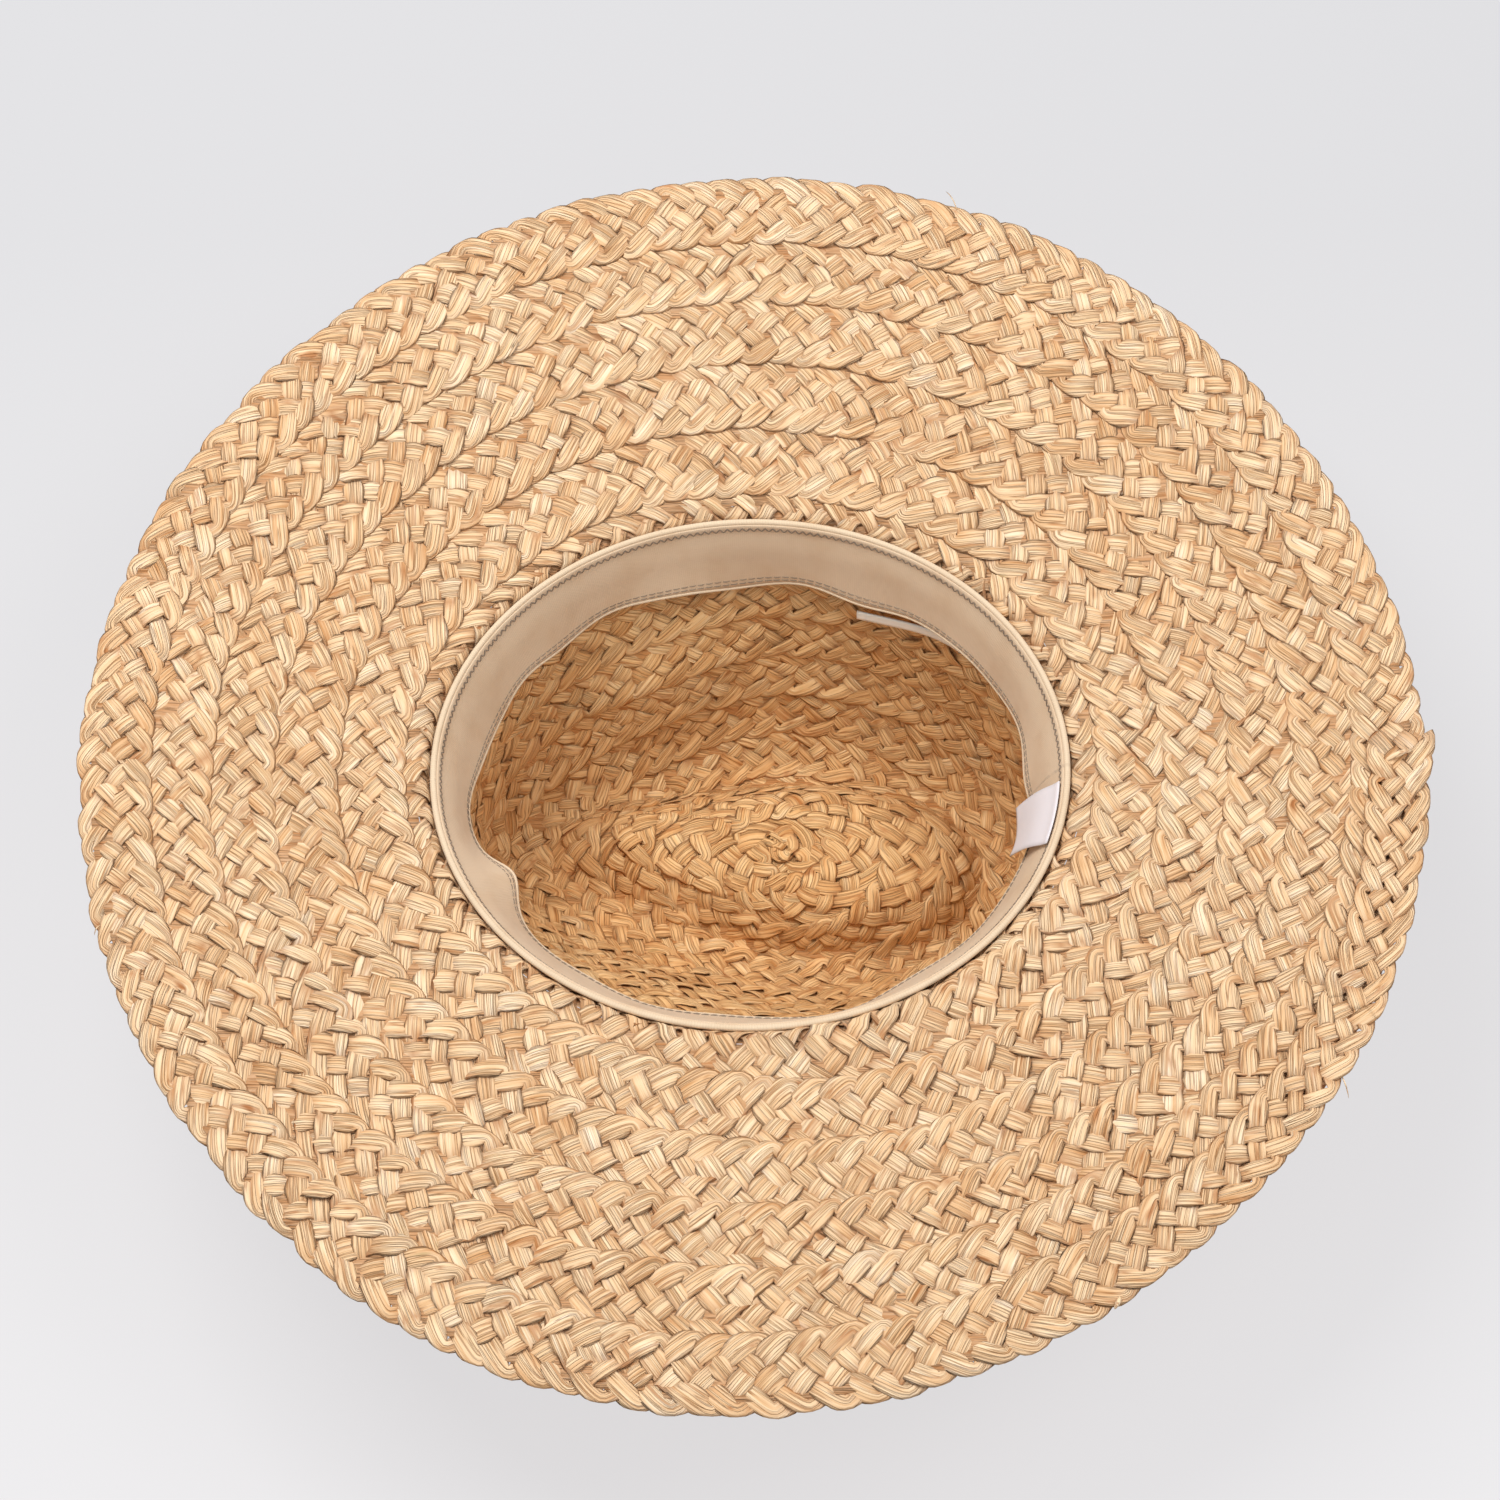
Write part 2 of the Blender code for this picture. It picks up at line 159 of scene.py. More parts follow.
def eased(ways, values, way):
    """Cubic curve through the values, whose slope at each is the harmonic mean of its neighbours'."""
    x = np.asarray(ways, float)
    y = np.asarray(values, float)
    gaps = np.diff(x)
    slopes = np.diff(y) / gaps
    level = slopes[:-1] * slopes[1:] <= 0
    sums = np.where(level, 1.0, slopes[:-1] + slopes[1:])
    inner = np.where(level, 0.0, 2 * slopes[:-1] * slopes[1:] / sums)
    tangents = np.concatenate([[slopes[0]], inner, [slopes[-1]]])
    way = np.asarray(way, float)
    cell = np.clip(np.searchsorted(x, way, side="right") - 1, 0, len(gaps) - 1)
    gap = gaps[cell]
    t = (way - x[cell]) / gap
    return (
        (2 * t**3 - 3 * t**2 + 1) * y[cell]
        + (t**3 - 2 * t**2 + t) * gap * tangents[cell]
        + (3 * t**2 - 2 * t**3) * y[cell + 1]
        + (t**3 - t**2) * gap * tangents[cell + 1]
    )


def crown_column(column, way):
    return eased(CROWN_WAYS, [getattr(section, column) for section in CROWN_SECTIONS], way)


def crown_outside(way, turn):
    """A section is an oval with its own reach to the front, back and sides, narrowed and leaned
    towards the front. Each side is pressed in by a round pinch, and the edge turns outwards."""
    way, turn = np.broadcast_arrays(way, turn)
    cos, sin = np.cos(turn), np.sin(turn)
    front = crown_column("front", way)
    back = crown_column("back", way)
    forward = (1 - cos) / 2
    x = HALF_LENGTH * ((back - front) / 2 + (back + front) / 2 * cos)
    y = HALF_WIDTH * crown_column("side", way) * sin
    y = y * (1 - crown_column("narrow", way) * forward)
    y = y + DENT_LEAN * crown_column("lean", way) * forward**2
    z = CROWN_HEIGHT * crown_column("rise", way) + DENT_DEPTH * crown_column("dent", way)
    along = (x + PINCH_TO_FRONT) / PINCH_LENGTH
    up = (z - PINCH_ABOVE_FLOOR) / PINCH_HEIGHT
    y = y - PINCH_DEPTH * sin * np.exp(-(along**2) - up**2)
    turned_out = BEND_REACH * np.clip((way - BEND_STARTS) / (1 - BEND_STARTS), 0, 1) ** 2
    return np.stack([MIDDLE_X + x + turned_out * cos, y + turned_out * sin, z], -1)


def brim_outside(way, turn):
    """The floor side of the brim runs straight from the crown's edge to a rim that is an oval
    with slightly squared corners, and rises with a low wave of three swells round the rim."""
    way, turn = np.broadcast_arrays(way, turn)
    cos, sin = np.cos(turn), np.sin(turn)
    squareness = 1 + BRIM_SQUARENESS / (BRIM_LENGTH / 2) * np.cos(4 * (turn - BRIM_SQUARE_TURN))
    start = BEND_REACH + CLEARANCE
    x = (HALF_LENGTH + start) * (1 - way) + BRIM_LENGTH / 2 * squareness * way
    y = (HALF_WIDTH + start) * (1 - way) + BRIM_WIDTH / 2 * squareness * way
    rise = eased(*zip(*BRIM_SECTIONS), way)
    wave = BRIM_WAVE * way**2 * np.sin(3 * turn + 0.6)
    return np.stack([MIDDLE_X + x * cos, y * sin, CROWN_HEIGHT + BRIM_RISE * rise + wave], -1)


def unit(vectors):
    length = np.linalg.norm(vectors, axis=-1, keepdims=True)
    return vectors / np.maximum(length, 1e-14)


def inward(surface, way, turn):
    """Unit normal towards the head, or up on the brim: along crossed with around."""
    way, turn = np.broadcast_arrays(way, turn)
    small = 1e-4
    along = surface(way + small, turn) - surface(way - small, turn)
    around = surface(way, turn + small) - surface(way, turn - small)
    across = np.cross(along, around)
    length = np.linalg.norm(across, axis=-1, keepdims=True)
    return np.where(length > 1e-14, across / np.maximum(length, 1e-14), [0.0, 0.0, 1.0])


print("crown edge at the back:", crown_outside(np.array(1.0), np.array(0.0)).round(4))

# %% [markdown]
# The plait is laid in rows, so a second pair of numbers is handier: the row, counted outwards with
# 0 at the first row of the brim, and the turn. In the crown the rows are spaced evenly along the
# surface. On the brim their inner edges lie where the photograph shows them. One grid of points
# and normals holds the whole surface, and any place on the hat is then read between four of them.

# %% Rows over the whole hat
TIP_ROW = -9.65
CROWN_EDGE_ROW = -0.15
ROW_WIDTH = 1.18  # a plait is this many rows wide, so each laps the one before it
RowEdge = namedtuple("RowEdge", "row way")
BRIM_ROW_EDGES = (
    RowEdge(CROWN_EDGE_ROW, 0.00),
    RowEdge(0, 0.03),
    RowEdge(1, 0.23),
    RowEdge(2, 0.425),
    RowEdge(3, 0.61),
    RowEdge(4, 0.79),
    RowEdge(4 + ROW_WIDTH, 1.00),
    RowEdge(5.70, 1.09),
)
GRID_TURNS = 720
GRID_PER_ROW = 24


def surface_grid():
    """Points and normals of the floor side for even steps of row and turn. A row in the crown is
    an even share of the length of surface from the tip to the edge."""
    turn = np.linspace(0, 2 * math.pi, GRID_TURNS + 1)
    ways = np.linspace(0, 1, 600)
    fine = crown_outside(ways[:, None], turn[None])
    length = np.concatenate([np.zeros((1, len(turn))), np.linalg.norm(np.diff(fine, axis=0), axis=-1)])
    share = np.cumsum(length, axis=0)
    share /= share[-1]
    rows = np.arange(TIP_ROW, BRIM_ROW_EDGES[-1].row, 1 / GRID_PER_ROW)
    crown_rows = rows[rows < CROWN_EDGE_ROW]
    brim_rows = rows[rows >= CROWN_EDGE_ROW]
    crown_share = (crown_rows - TIP_ROW) / (CROWN_EDGE_ROW - TIP_ROW)
    crown_way = np.stack([np.interp(crown_share, column, ways) for column in share.T], 1)
    brim_way = np.interp(brim_rows, *zip(*BRIM_ROW_EDGES))[:, None]
    both = ((crown_outside, crown_way), (brim_outside, brim_way))
    points = np.concatenate([surface(way, turn[None]) for surface, way in both])
    normals = np.concatenate([inward(surface, way, turn[None]) for surface, way in both])
    normals[0] = [0.0, 0.0, 1.0]
    return points, normals


GRID_POINTS, GRID_NORMALS = surface_grid()


def on_hat(row, turn):
    """Point and normal at a row and turn, read between four grid points. A row before the tip
    passes through the tip and comes out on the far side."""
    past_tip = row < TIP_ROW
    row = np.where(past_tip, 2 * TIP_ROW - row, row)
    turn = np.where(past_tip, turn + math.pi, turn)
    i = np.clip((row - TIP_ROW) * GRID_PER_ROW, 0, len(GRID_POINTS) - 1.001)
    j = (turn / (2 * math.pi)) % 1 * GRID_TURNS
    i0 = i.astype(int)
    j0 = np.minimum(j.astype(int), GRID_TURNS - 1)
    a = (i - i0)[..., None]
    b = (j - j0)[..., None]

    def between(grid):
        near = grid[i0, j0] * (1 - b) + grid[i0, j0 + 1] * b
        far = grid[i0 + 1, j0] * (1 - b) + grid[i0 + 1, j0 + 1] * b
        return near * (1 - a) + far * a

    return between(GRID_POINTS), unit(between(GRID_NORMALS))


print("surface grid:", GRID_POINTS.shape[:2])

# %% [markdown]
# ## The spiral
#
# Going once round, the plait has to move out by one row. The sewer of this hat did that mostly in
# the last quarter of each turn, at the back, and on the outer rows in an even shorter stretch. The
# last stretch doesn't move out: it stays at the rim and lies on top of the row before it, where
# the plait is cut.

# %% Where the plait runs
SEAM_TURN = math.radians(9)  # the turns of the plait are counted from here
SHIFT_STARTS = 215.0  # degrees round the head where the first row of the brim starts to move out
SHIFT_LATER = 19.0  # each further row starts this much later
FIRST_TURN = -10.85
LAST_ROW = 4
CUT_SHARE = (360 + 0.7 - 9) / 360  # the last turn ends just past the back
TAIL_SHARE = 0.905
START_DROP = 0.0010  # the first part of the spiral lies under the rest
PLAIT_SAMPLES = 14000


def smooth_step(value):
    value = np.clip(value, 0, 1)
    return value * value * (3 - 2 * value)


def inner_edge(winding):
    """Row of the plait's inner edge. It holds still for the first part of a turn, then moves out
    by one row along a smooth step. The last row stays, apart from a slight move to the rim."""
    row = np.floor(winding)
    share = winding - row
    starts = (SHIFT_STARTS + SHIFT_LATER * row - 9) / 360
    moved = row + smooth_step((share - starts) / (1 - starts))
    tail = LAST_ROW + 0.22 * smooth_step((share - 0.78) / 0.12)
    return np.where(row >= LAST_ROW, tail, moved)


def plait_width(winding):
    """Width in rows: narrower where the tail lies free on the rim, and spread at its cut."""
    tail = np.where(winding > LAST_ROW, winding - LAST_ROW, 0.0)
    narrow = 0.20 * smooth_step((tail - 0.78) / 0.10)
    spread = 0.16 * smooth_step((tail - 0.962) / (CUT_SHARE - 0.962))
    return ROW_WIDTH - narrow + spread


def tail_lift(winding):
    """How far the tail climbs onto the row that goes under it."""
    return smooth_step((winding - LAST_ROW - 0.80) / 0.11)


WINDING = np.linspace(FIRST_TURN, LAST_ROW + CUT_SHARE, PLAIT_SAMPLES)


def winding_turn(winding):
    return SEAM_TURN + winding * 2 * math.pi


def plait_middle(winding):
    return inner_edge(winding) + plait_width(winding) / 2


middle_line, _ = on_hat(plait_middle(WINDING), winding_turn(WINDING))
PLAIT_LENGTHS = np.concatenate([[0.0], np.cumsum(np.linalg.norm(np.diff(middle_line, axis=0), axis=-1))])
print("the plait is", round(float(PLAIT_LENGTHS[-1]), 2), "m long")

# %% [markdown]
# ## The plait
#
# Five strands zigzag across the row. Each one goes over and under the strands that it meets, and
# folds over at the edge into a long leaf shape. Crossings could be painted with a texture, but at
# this scale they are 7 mm wide and make the brim's outline scalloped, so each strand is real
# geometry: a puffed ribbon carried along a computed path.

# %% Paths and ribbons of the strands
STRANDS = 5
REPEAT = 0.048  # length of plait in which a strand crosses to the far edge and back
STEPS_PER_CROSSING = 4
EDGE_ROUNDING = 0.985
EARLY_TURN = 0.07  # a strand slows down before the edge, which draws its last cell out to a leaf
OVER_HEIGHT = 0.00050
ROW_TILT = 0.00078
STRAND_THICKNESS = 0.00050
STRAND_SHARE = 0.78  # half width of a strand, as a share of a fifth of the plait's width
LEAST_HALF_WIDTH = 0.0016
FOLD_MARGIN = 0.075  # a strand's middle turns back this share of the plait's width from its edge
EDGE_DROOP = 0.0006
TAIL_HEIGHT = 0.0023
DARKER_BEFORE_CUT = 0.009  # the straw is darker over this length before the cut
HEIGHT_AT_CROSSINGS = np.array([0.5, -1.0, 1.0, -1.0, 1.0, 0.5])
RIBBON_TOP = np.array([-1.0, -0.72, -0.36, 0.0, 0.36, 0.72, 1.0])
RIBBON_UNDER = np.array([0.65, 0.0, -0.65])
SEED = 20


def wander(position, spacing, seed):
    """Smooth random curve from -1 to 1 with a new value every spacing."""
    knots = np.random.default_rng(seed).uniform(-1, 1, int(np.max(position) / spacing) + 4)
    place = np.clip(position / spacing, 0, None)
    cell = place.astype(int)
    blend = smooth_step(place - cell)
    return knots[cell] * (1 - blend) + knots[cell + 1] * blend


def crossing_height(crossing):
    """A strand leaves one edge under its neighbour, goes up and down over the crossings, and
    comes to the other edge on top. Half a cosine joins one height to the next."""
    cell = np.clip(crossing.astype(int), 0, STRANDS - 1)
    blend = (1 - np.cos(math.pi * (crossing - cell))) / 2
    return HEIGHT_AT_CROSSINGS[cell] * (1 - blend) + HEIGHT_AT_CROSSINGS[cell + 1] * blend


Ribbon = namedtuple("Ribbon", "points tone shade fibre")


def strand_ribbon(strand, start, end):
    """One strand between two lengths of the plait, as rings of points. Its middle goes from edge
    to edge as a triangle wave with rounded ends. It is widest on top of a crossing and drawn in
    between two, and narrow at a fold. A ring is a flat lens: 1 - x^2.6 of the thickness with two
    grooves, and it droops over the plait's edge at a fold. Where the hat lies
    on the floor the strand is pressed flat."""
    step = REPEAT / (2 * STRANDS) / STEPS_PER_CROSSING
    length = np.arange(int(start / step), int(end / step) + 1) * step
    length = np.clip(length, 0, PLAIT_LENGTHS[-1])

    def vary(spacing, number):
        return wander(length, spacing, SEED + 10 * strand + number)

    phase = length / REPEAT + strand / STRANDS + 0.030 * vary(0.019, 0)
    half_way = 2 * phase % 1
    eased_way = half_way + EARLY_TURN * np.sin(math.pi * half_way)
    crossing = STRANDS * eased_way
    heading = np.where(np.floor(2 * phase) % 2 == 0, -1.0, 1.0)
    rounded = np.arcsin(EDGE_ROUNDING * np.cos(math.pi * eased_way)) / math.asin(EDGE_ROUNDING)
    fold = np.minimum(crossing, STRANDS - crossing)
    over = crossing_height(crossing)
    winding = np.interp(length, PLAIT_LENGTHS, WINDING)
    turn = winding_turn(winding)
    middle = plait_middle(winding)
    width = plait_width(winding)
    inner, _ = on_hat(middle - width / 2, turn)
    outer, _ = on_hat(middle + width / 2, turn)
    out = unit(outer - inner)
    plait = np.linalg.norm(outer - inner, axis=-1)
    half = plait / STRANDS * STRAND_SHARE * (1 + 0.17 * vary(0.006, 1))
    half = np.maximum(half, LEAST_HALF_WIDTH) * (1 - 0.20 * (1 - np.abs(over)))
    half = half * (1 - 0.40 * np.exp(-((fold / 0.30) ** 2)))
    reach = (0.5 - FOLD_MARGIN) * (1 + 0.08 * vary(0.013, 2))
    share = heading * rounded * reach
    place, normal = on_hat(middle + width * share, turn)
    lift = tail_lift(winding)
    height = STRAW_WALL / 2 + TAIL_HEIGHT * lift - START_DROP * smooth_step((-9.9 - winding) / 0.4)
    height = height - 2 * ROW_TILT * share * (1 - lift)
    height = height + OVER_HEIGHT * over + 0.00016 * vary(0.007, 3)
    centre = place + normal * height[:, None]
    tangent = unit(np.gradient(centre, axis=0))
    side = unit(np.cross(normal, tangent))
    up = np.cross(tangent, side)
    roll = 0.24 * vary(0.009, 8)[:, None]
    side, up = side * np.cos(roll) + up * np.sin(roll), up * np.cos(roll) - side * np.sin(roll)
    thick = STRAND_THICKNESS * (1 + 0.25 * np.exp(-((fold / 0.5) ** 2)))
    thick = thick * (1 + 0.18 * vary(0.009, 4))
    slide = 0.14 * vary(0.015, 5)[:, None]
    across = np.concatenate([RIBBON_TOP, RIBBON_UNDER])[None]
    across = across + slide * (1 - across**2)
    is_top = np.concatenate([np.ones(len(RIBBON_TOP)), -np.ones(len(RIBBON_UNDER))])[None]
    lens = 1 - np.abs(across) ** 2.6
    depth = 0.42 + 0.34 * vary(0.011, 9)[:, None] * np.sign(across)
    groove = depth * np.exp(-(((np.abs(across) - 0.36) / 0.15) ** 2))
    swell = is_top * (lens - groove) * thick[:, None]
    towards_edge = across * (side * out).sum(-1)[:, None] * np.sign(share)[:, None]
    droop = EDGE_DROOP * np.exp(-((fold / 0.7) ** 2))[:, None] * np.clip(towards_edge, 0, 1) ** 1.5
    points = centre[:, None] + side[:, None] * (across * half[:, None])[..., None]
    points = points + up[:, None] * swell[..., None] - normal[:, None] * droop[..., None]
    points[..., 2] = np.maximum(points[..., 2], 0.0)
    tone = 0.5 + 0.13 * vary(0.050, 6) + 0.13 * vary(0.006, 7)
    tone = np.broadcast_to(tone[:, None], across.shape)
    # painted shade: a strand is darker at its edges, in its two grooves and on the faces that lie under a
    # crossing strand
    below = (1 - is_top * over[:, None]) / 2
    shade = np.clip(0.45 * np.abs(across) ** 6 + 0.75 * below**1.8 + groove * 0.40, 0, 1)
    # the last stretch before the cut is darker, through the same shade attribute
    at_cut = smooth_step((length - PLAIT_LENGTHS[-1] + DARKER_BEFORE_CUT) / DARKER_BEFORE_CUT)[:, None]
    shade = np.maximum(shade, 0.55 * at_cut)
    along = np.broadcast_to(length[:, None], across.shape)
    fibre = np.stack([across * half[:, None], along, np.full(across.shape, strand * 0.37)], -1)
    return Ribbon(points, tone, shade, fibre)


def ring_quads(rings, count, first=0):
    """Faces between neighbouring rings of a ribbon, all facing outwards."""
    i = np.arange(rings - 1)[:, None] * count + first
    j = np.arange(count)[None]
    k = (j + 1) % count
    return np.stack([i + j, i + count + j, i + count + k, i + k], -1).reshape(-1, 4)


print("ring of", len(RIBBON_TOP) + len(RIBBON_UNDER), "points,", STRANDS, "strands")

# %% A mesh from whole arrays


def make_piece(name, points, quads, caps, coating, slot, replaces=(), **attributes):
    """Puts arrays of points, four-sided faces and end caps into a mesh that rides on the hat."""
    mesh = bpy.data.meshes.new(name)
    mesh.vertices.add(len(points))
    mesh.vertices.foreach_set("co", np.ascontiguousarray(points, np.float32).ravel())
    loops = np.concatenate([quads.ravel()] + [np.asarray(cap).ravel() for cap in caps])
    totals = np.concatenate([np.full(len(quads), 4)] + [[len(cap)] for cap in caps]).astype(np.int32)
    starts = np.concatenate([[0], np.cumsum(totals)[:-1]]).astype(np.int32)
    mesh.loops.add(len(loops))
    mesh.loops.foreach_set("vertex_index", loops.astype(np.int32))
    mesh.polygons.add(len(totals))
    mesh.polygons.foreach_set("loop_start", starts)
    mesh.polygons.foreach_set("loop_total", totals)
    mesh.polygons.foreach_set("use_smooth", np.ones(len(totals), bool))
    for label, values in attributes.items():
        kind = "FLOAT" if values.ndim == 1 else "FLOAT_VECTOR"
        layer = mesh.attributes.new(label, kind, "POINT")
        field = "value" if kind == "FLOAT" else "vector"
        layer.data.foreach_set(field, np.ascontiguousarray(values, np.float32).ravel())
    mesh.update(calc_edges=True)
    mesh.materials.append(coating)
    piece = add_object(name, mesh)
    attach(piece, "root")
    if replaces:
        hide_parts(*replaces)
    print(name, len(mesh.polygons), "faces")
    return piece


def full_turn(count):
    return np.arange(count) * (2 * math.pi / count)


def hoop_piece(name, rings, coating, slot, replaces=(), **attributes):
    """Closed hoop: every ring is one section's outline and the last joins the first."""
    count, size = rings.shape[:2]
    quads = ring_quads(count + 1, size) % (count * size)
    return make_piece(name, rings.reshape(-1, 3), quads, [], coating, slot, replaces, **attributes)


# %% [markdown]
# ## Straw
#
# Raffia is a dry leaf split into fibres. Its colour runs from cream to tan along each strand, with
# fine streaks along the fibres and a few rusty or olive spots, and the fibres leave small creases
# that catch the light. All straw pieces share one node group, which reads where a point lies
# across and along its own strand, so the streaks follow every fold.

# %% Helpers for shader nodes


def srgb(red, green, blue):
    """Colour as a shader needs it, from the 0 to 255 numbers that a picture editor shows."""
    share = np.array([red, green, blue]) / 255
    linear = np.where(share <= 0.04045, share / 12.92, ((share + 0.055) / 1.055) ** 2.4)
    return (*[float(x) for x in linear], 1.0)


def fill_sockets(tree, node, inputs):
    """Each input is linked if it is given a socket, and set if it is given a value."""
    for name, value in inputs.items():
        if isinstance(value, bpy.types.NodeSocket):
            tree.links.new(value, node.inputs[name])
        else:
            node.inputs[name].default_value = value
    return node


def add_node(tree, kind, inputs=None, **settings):
    made = tree.nodes.new(kind)
    for name, value in settings.items():
        setattr(made, name, value)
    return fill_sockets(tree, made, inputs or {})


def maths(tree, operation, first, second=0.0, third=0.0, clamp=False):
    inputs = {0: first, 1: second, 2: third}
    return add_node(tree, "ShaderNodeMath", inputs, operation=operation, use_clamp=clamp).outputs[0]


def colour_mix(tree, share, first, second, blend="MIX"):
    inputs = {0: share, 6: first, 7: second}
    made = add_node(tree, "ShaderNodeMix", inputs, data_type="RGBA", blend_type=blend)
    return made.outputs[2]


def ramp(tree, value, stops):
    """Colour read off a row of stops, each a place from 0 to 1 and a colour."""
    made = add_node(tree, "ShaderNodeValToRGB", {0: value})
    while len(made.color_ramp.elements) < len(stops):
        made.color_ramp.elements.new(0.5)
    for element, (place, colour) in zip(made.color_ramp.elements, stops):
        element.position = place
        element.color = colour
    return made.outputs[0]


def noise(tree, place, scale, detail, roughness):
    inputs = {"Vector": place, "Scale": scale, "Detail": detail, "Roughness": roughness}
    return add_node(tree, "ShaderNodeTexNoise", inputs).outputs[0]


def new_group(name, inputs):
    """An empty node group that gives colour, roughness and height, with its two ends."""
    group = bpy.data.node_groups.new(name, "ShaderNodeTree")
    for label, kind, value in inputs:
        made = group.interface.new_socket(name=label, in_out="INPUT", socket_type="NodeSocket" + kind)
        if value is not None:
            made.default_value = value
    for label, kind in (("Colour", "Color"), ("Roughness", "Float"), ("Height", "Float")):
        group.interface.new_socket(name=label, in_out="OUTPUT", socket_type="NodeSocket" + kind)
    return group, group.nodes.new("NodeGroupInput").outputs, group.nodes.new("NodeGroupOutput")


def use_group(tree, group, **inputs):
    made = tree.nodes.new("ShaderNodeGroup")
    made.node_tree = group
    return fill_sockets(tree, made, {name.replace("_", " "): value for name, value in inputs.items()})


def new_material(name):
    made = bpy.data.materials.new(name)
    made.use_nodes = True
    return made, made.node_tree, made.node_tree.nodes["Principled BSDF"]


def read_attribute(tree, name, output):
    return add_node(tree, "ShaderNodeAttribute", attribute_name=name).outputs[output]


def object_place(tree):
    """The x, y and z of a point in metres, as three sockets."""
    place = add_node(tree, "ShaderNodeTexCoord").outputs["Object"]
    return add_node(tree, "ShaderNodeSeparateXYZ", {0: place}).outputs


def dress(tree, shader, look, bump, depth, specular):
    """Gives a material its group's colour, roughness and height. The relief is depth metres deep."""
    relief = {"Height": look.outputs["Height"], "Strength": bump, "Distance": depth}
    normal = add_node(tree, "ShaderNodeBump", relief).outputs[0]
    colour, roughness = look.outputs["Colour"], look.outputs["Roughness"]
    inputs = {"Base Color": colour, "Roughness": roughness, "Normal": normal}
    fill_sockets(tree, shader, {**inputs, "Specular IOR Level": specular})


# %% The straw's fibres as a node group
DARK_STRAW = srgb(202, 150, 98)
TAN_STRAW = srgb(232, 194, 148)
CREAM_STRAW = srgb(247, 220, 180)
PALE_STRAW = srgb(253, 236, 208)
# painted shade: the deep brown that the shaded parts of the straw are painted with
PAINTED_SHADE_STRAW = srgb(158, 88, 34)
RUST = srgb(176, 108, 52)
OLIVE = srgb(176, 158, 106)


def straw_fibres():
    """Tone plus streaks gives the colour. Streaks are noise drawn out along the fibre, creases are where
    a noise crosses its middle, and spots are the peaks of a slower noise. The colour is pulled towards a
    deep brown where the Shade input or a crease is high, as painted shade. The height is the fine noise
    with the creases cut in."""
    group, given, put = new_group(
        "straw_fibres",
        [("Tone", "Float", 0.5), ("Shade", "Float", 0.0), ("Tint", "Color", (1.0, 1.0, 1.0, 1.0)),
         ("Fibre", "Vector", None), ("Spots", "Float", 0.5), ("Creases", "Float", 0.5)],
    )

    def streaks(across, along, detail):
        scaled = add_node(
            group, "ShaderNodeVectorMath", {0: given["Fibre"], 1: (across, along, 31.0)},
            operation="MULTIPLY",
        )
        return noise(group, scaled.outputs[0], 1.0, detail, 0.6)

    def peak(value, middle, sharpness):
        """1 where the value is at its middle, falling off in a straight line on both sides."""
        apart = maths(group, "ABSOLUTE", maths(group, "SUBTRACT", value, middle))
        return maths(group, "SUBTRACT", 1.0, maths(group, "MULTIPLY", apart, sharpness), clamp=True)

    broad = streaks(620.0, 45.0, 2.0)
    fine = streaks(2100.0, 90.0, 2.5)
    spotty = streaks(260.0, 85.0, 1.0)
    wide_crease = peak(streaks(760.0, 30.0, 0.0), 0.5, 22.0)
    thin_crease = peak(streaks(1300.0, 42.0, 0.0), 0.56, 26.0)
    crease = maths(group, "MAXIMUM", wide_crease, thin_crease)
    crease = maths(group, "MULTIPLY", crease, given["Creases"])
    tone = maths(group, "MULTIPLY_ADD", maths(group, "SUBTRACT", broad, 0.5), 1.1, given["Tone"])
    tone = maths(group, "MULTIPLY_ADD", maths(group, "SUBTRACT", fine, 0.5), 1.1, tone, clamp=True)
    stops = [(0.0, DARK_STRAW), (0.35, TAN_STRAW), (0.68, CREAM_STRAW), (1.0, PALE_STRAW)]
    colour = ramp(group, tone, stops)
    for more, less, sharpness, spot in ((spotty, 0.70, 9.0, RUST), (0.27, spotty, 7.0, OLIVE)):
        past = maths(group, "SUBTRACT", more, less, clamp=True)
        mask = maths(group, "MULTIPLY", past, sharpness, clamp=True)
        mask = maths(group, "MULTIPLY", mask, given["Spots"])
        colour = colour_mix(group, mask, colour, spot)
    # painted shade: the colour goes towards a deep brown where the Shade input or a crease is high
    deep = maths(group, "MAXIMUM", given["Shade"], crease)
    colour = colour_mix(group, maths(group, "MULTIPLY", deep, 0.82), colour, PAINTED_SHADE_STRAW)
    colour = colour_mix(group, 1.0, colour, given["Tint"], "MULTIPLY")
    height = maths(group, "SUBTRACT", maths(group, "MULTIPLY_ADD", broad, 0.7, fine), crease)
    roughness = maths(group, "MULTIPLY_ADD", fine, 0.30, 0.46)
    fill_sockets(group, put, {"Colour": colour, "Roughness": roughness, "Height": height})
    return group


STRAW_FIBRES = straw_fibres()

# %% Straw for the brim and for the crown
# painted shade: the crown's inside gets a darker, warmer tint than the brim, which keeps a near-white lit
# tint
LIT_STRAW_TINT = (1.0, 0.98, 0.99, 1.0)
PAINTED_SHADE_TINT = (1.0, 0.87, 0.68, 1.0)
TINT_STARTS_BELOW = 0.004
TINT_BLEND = 0.018


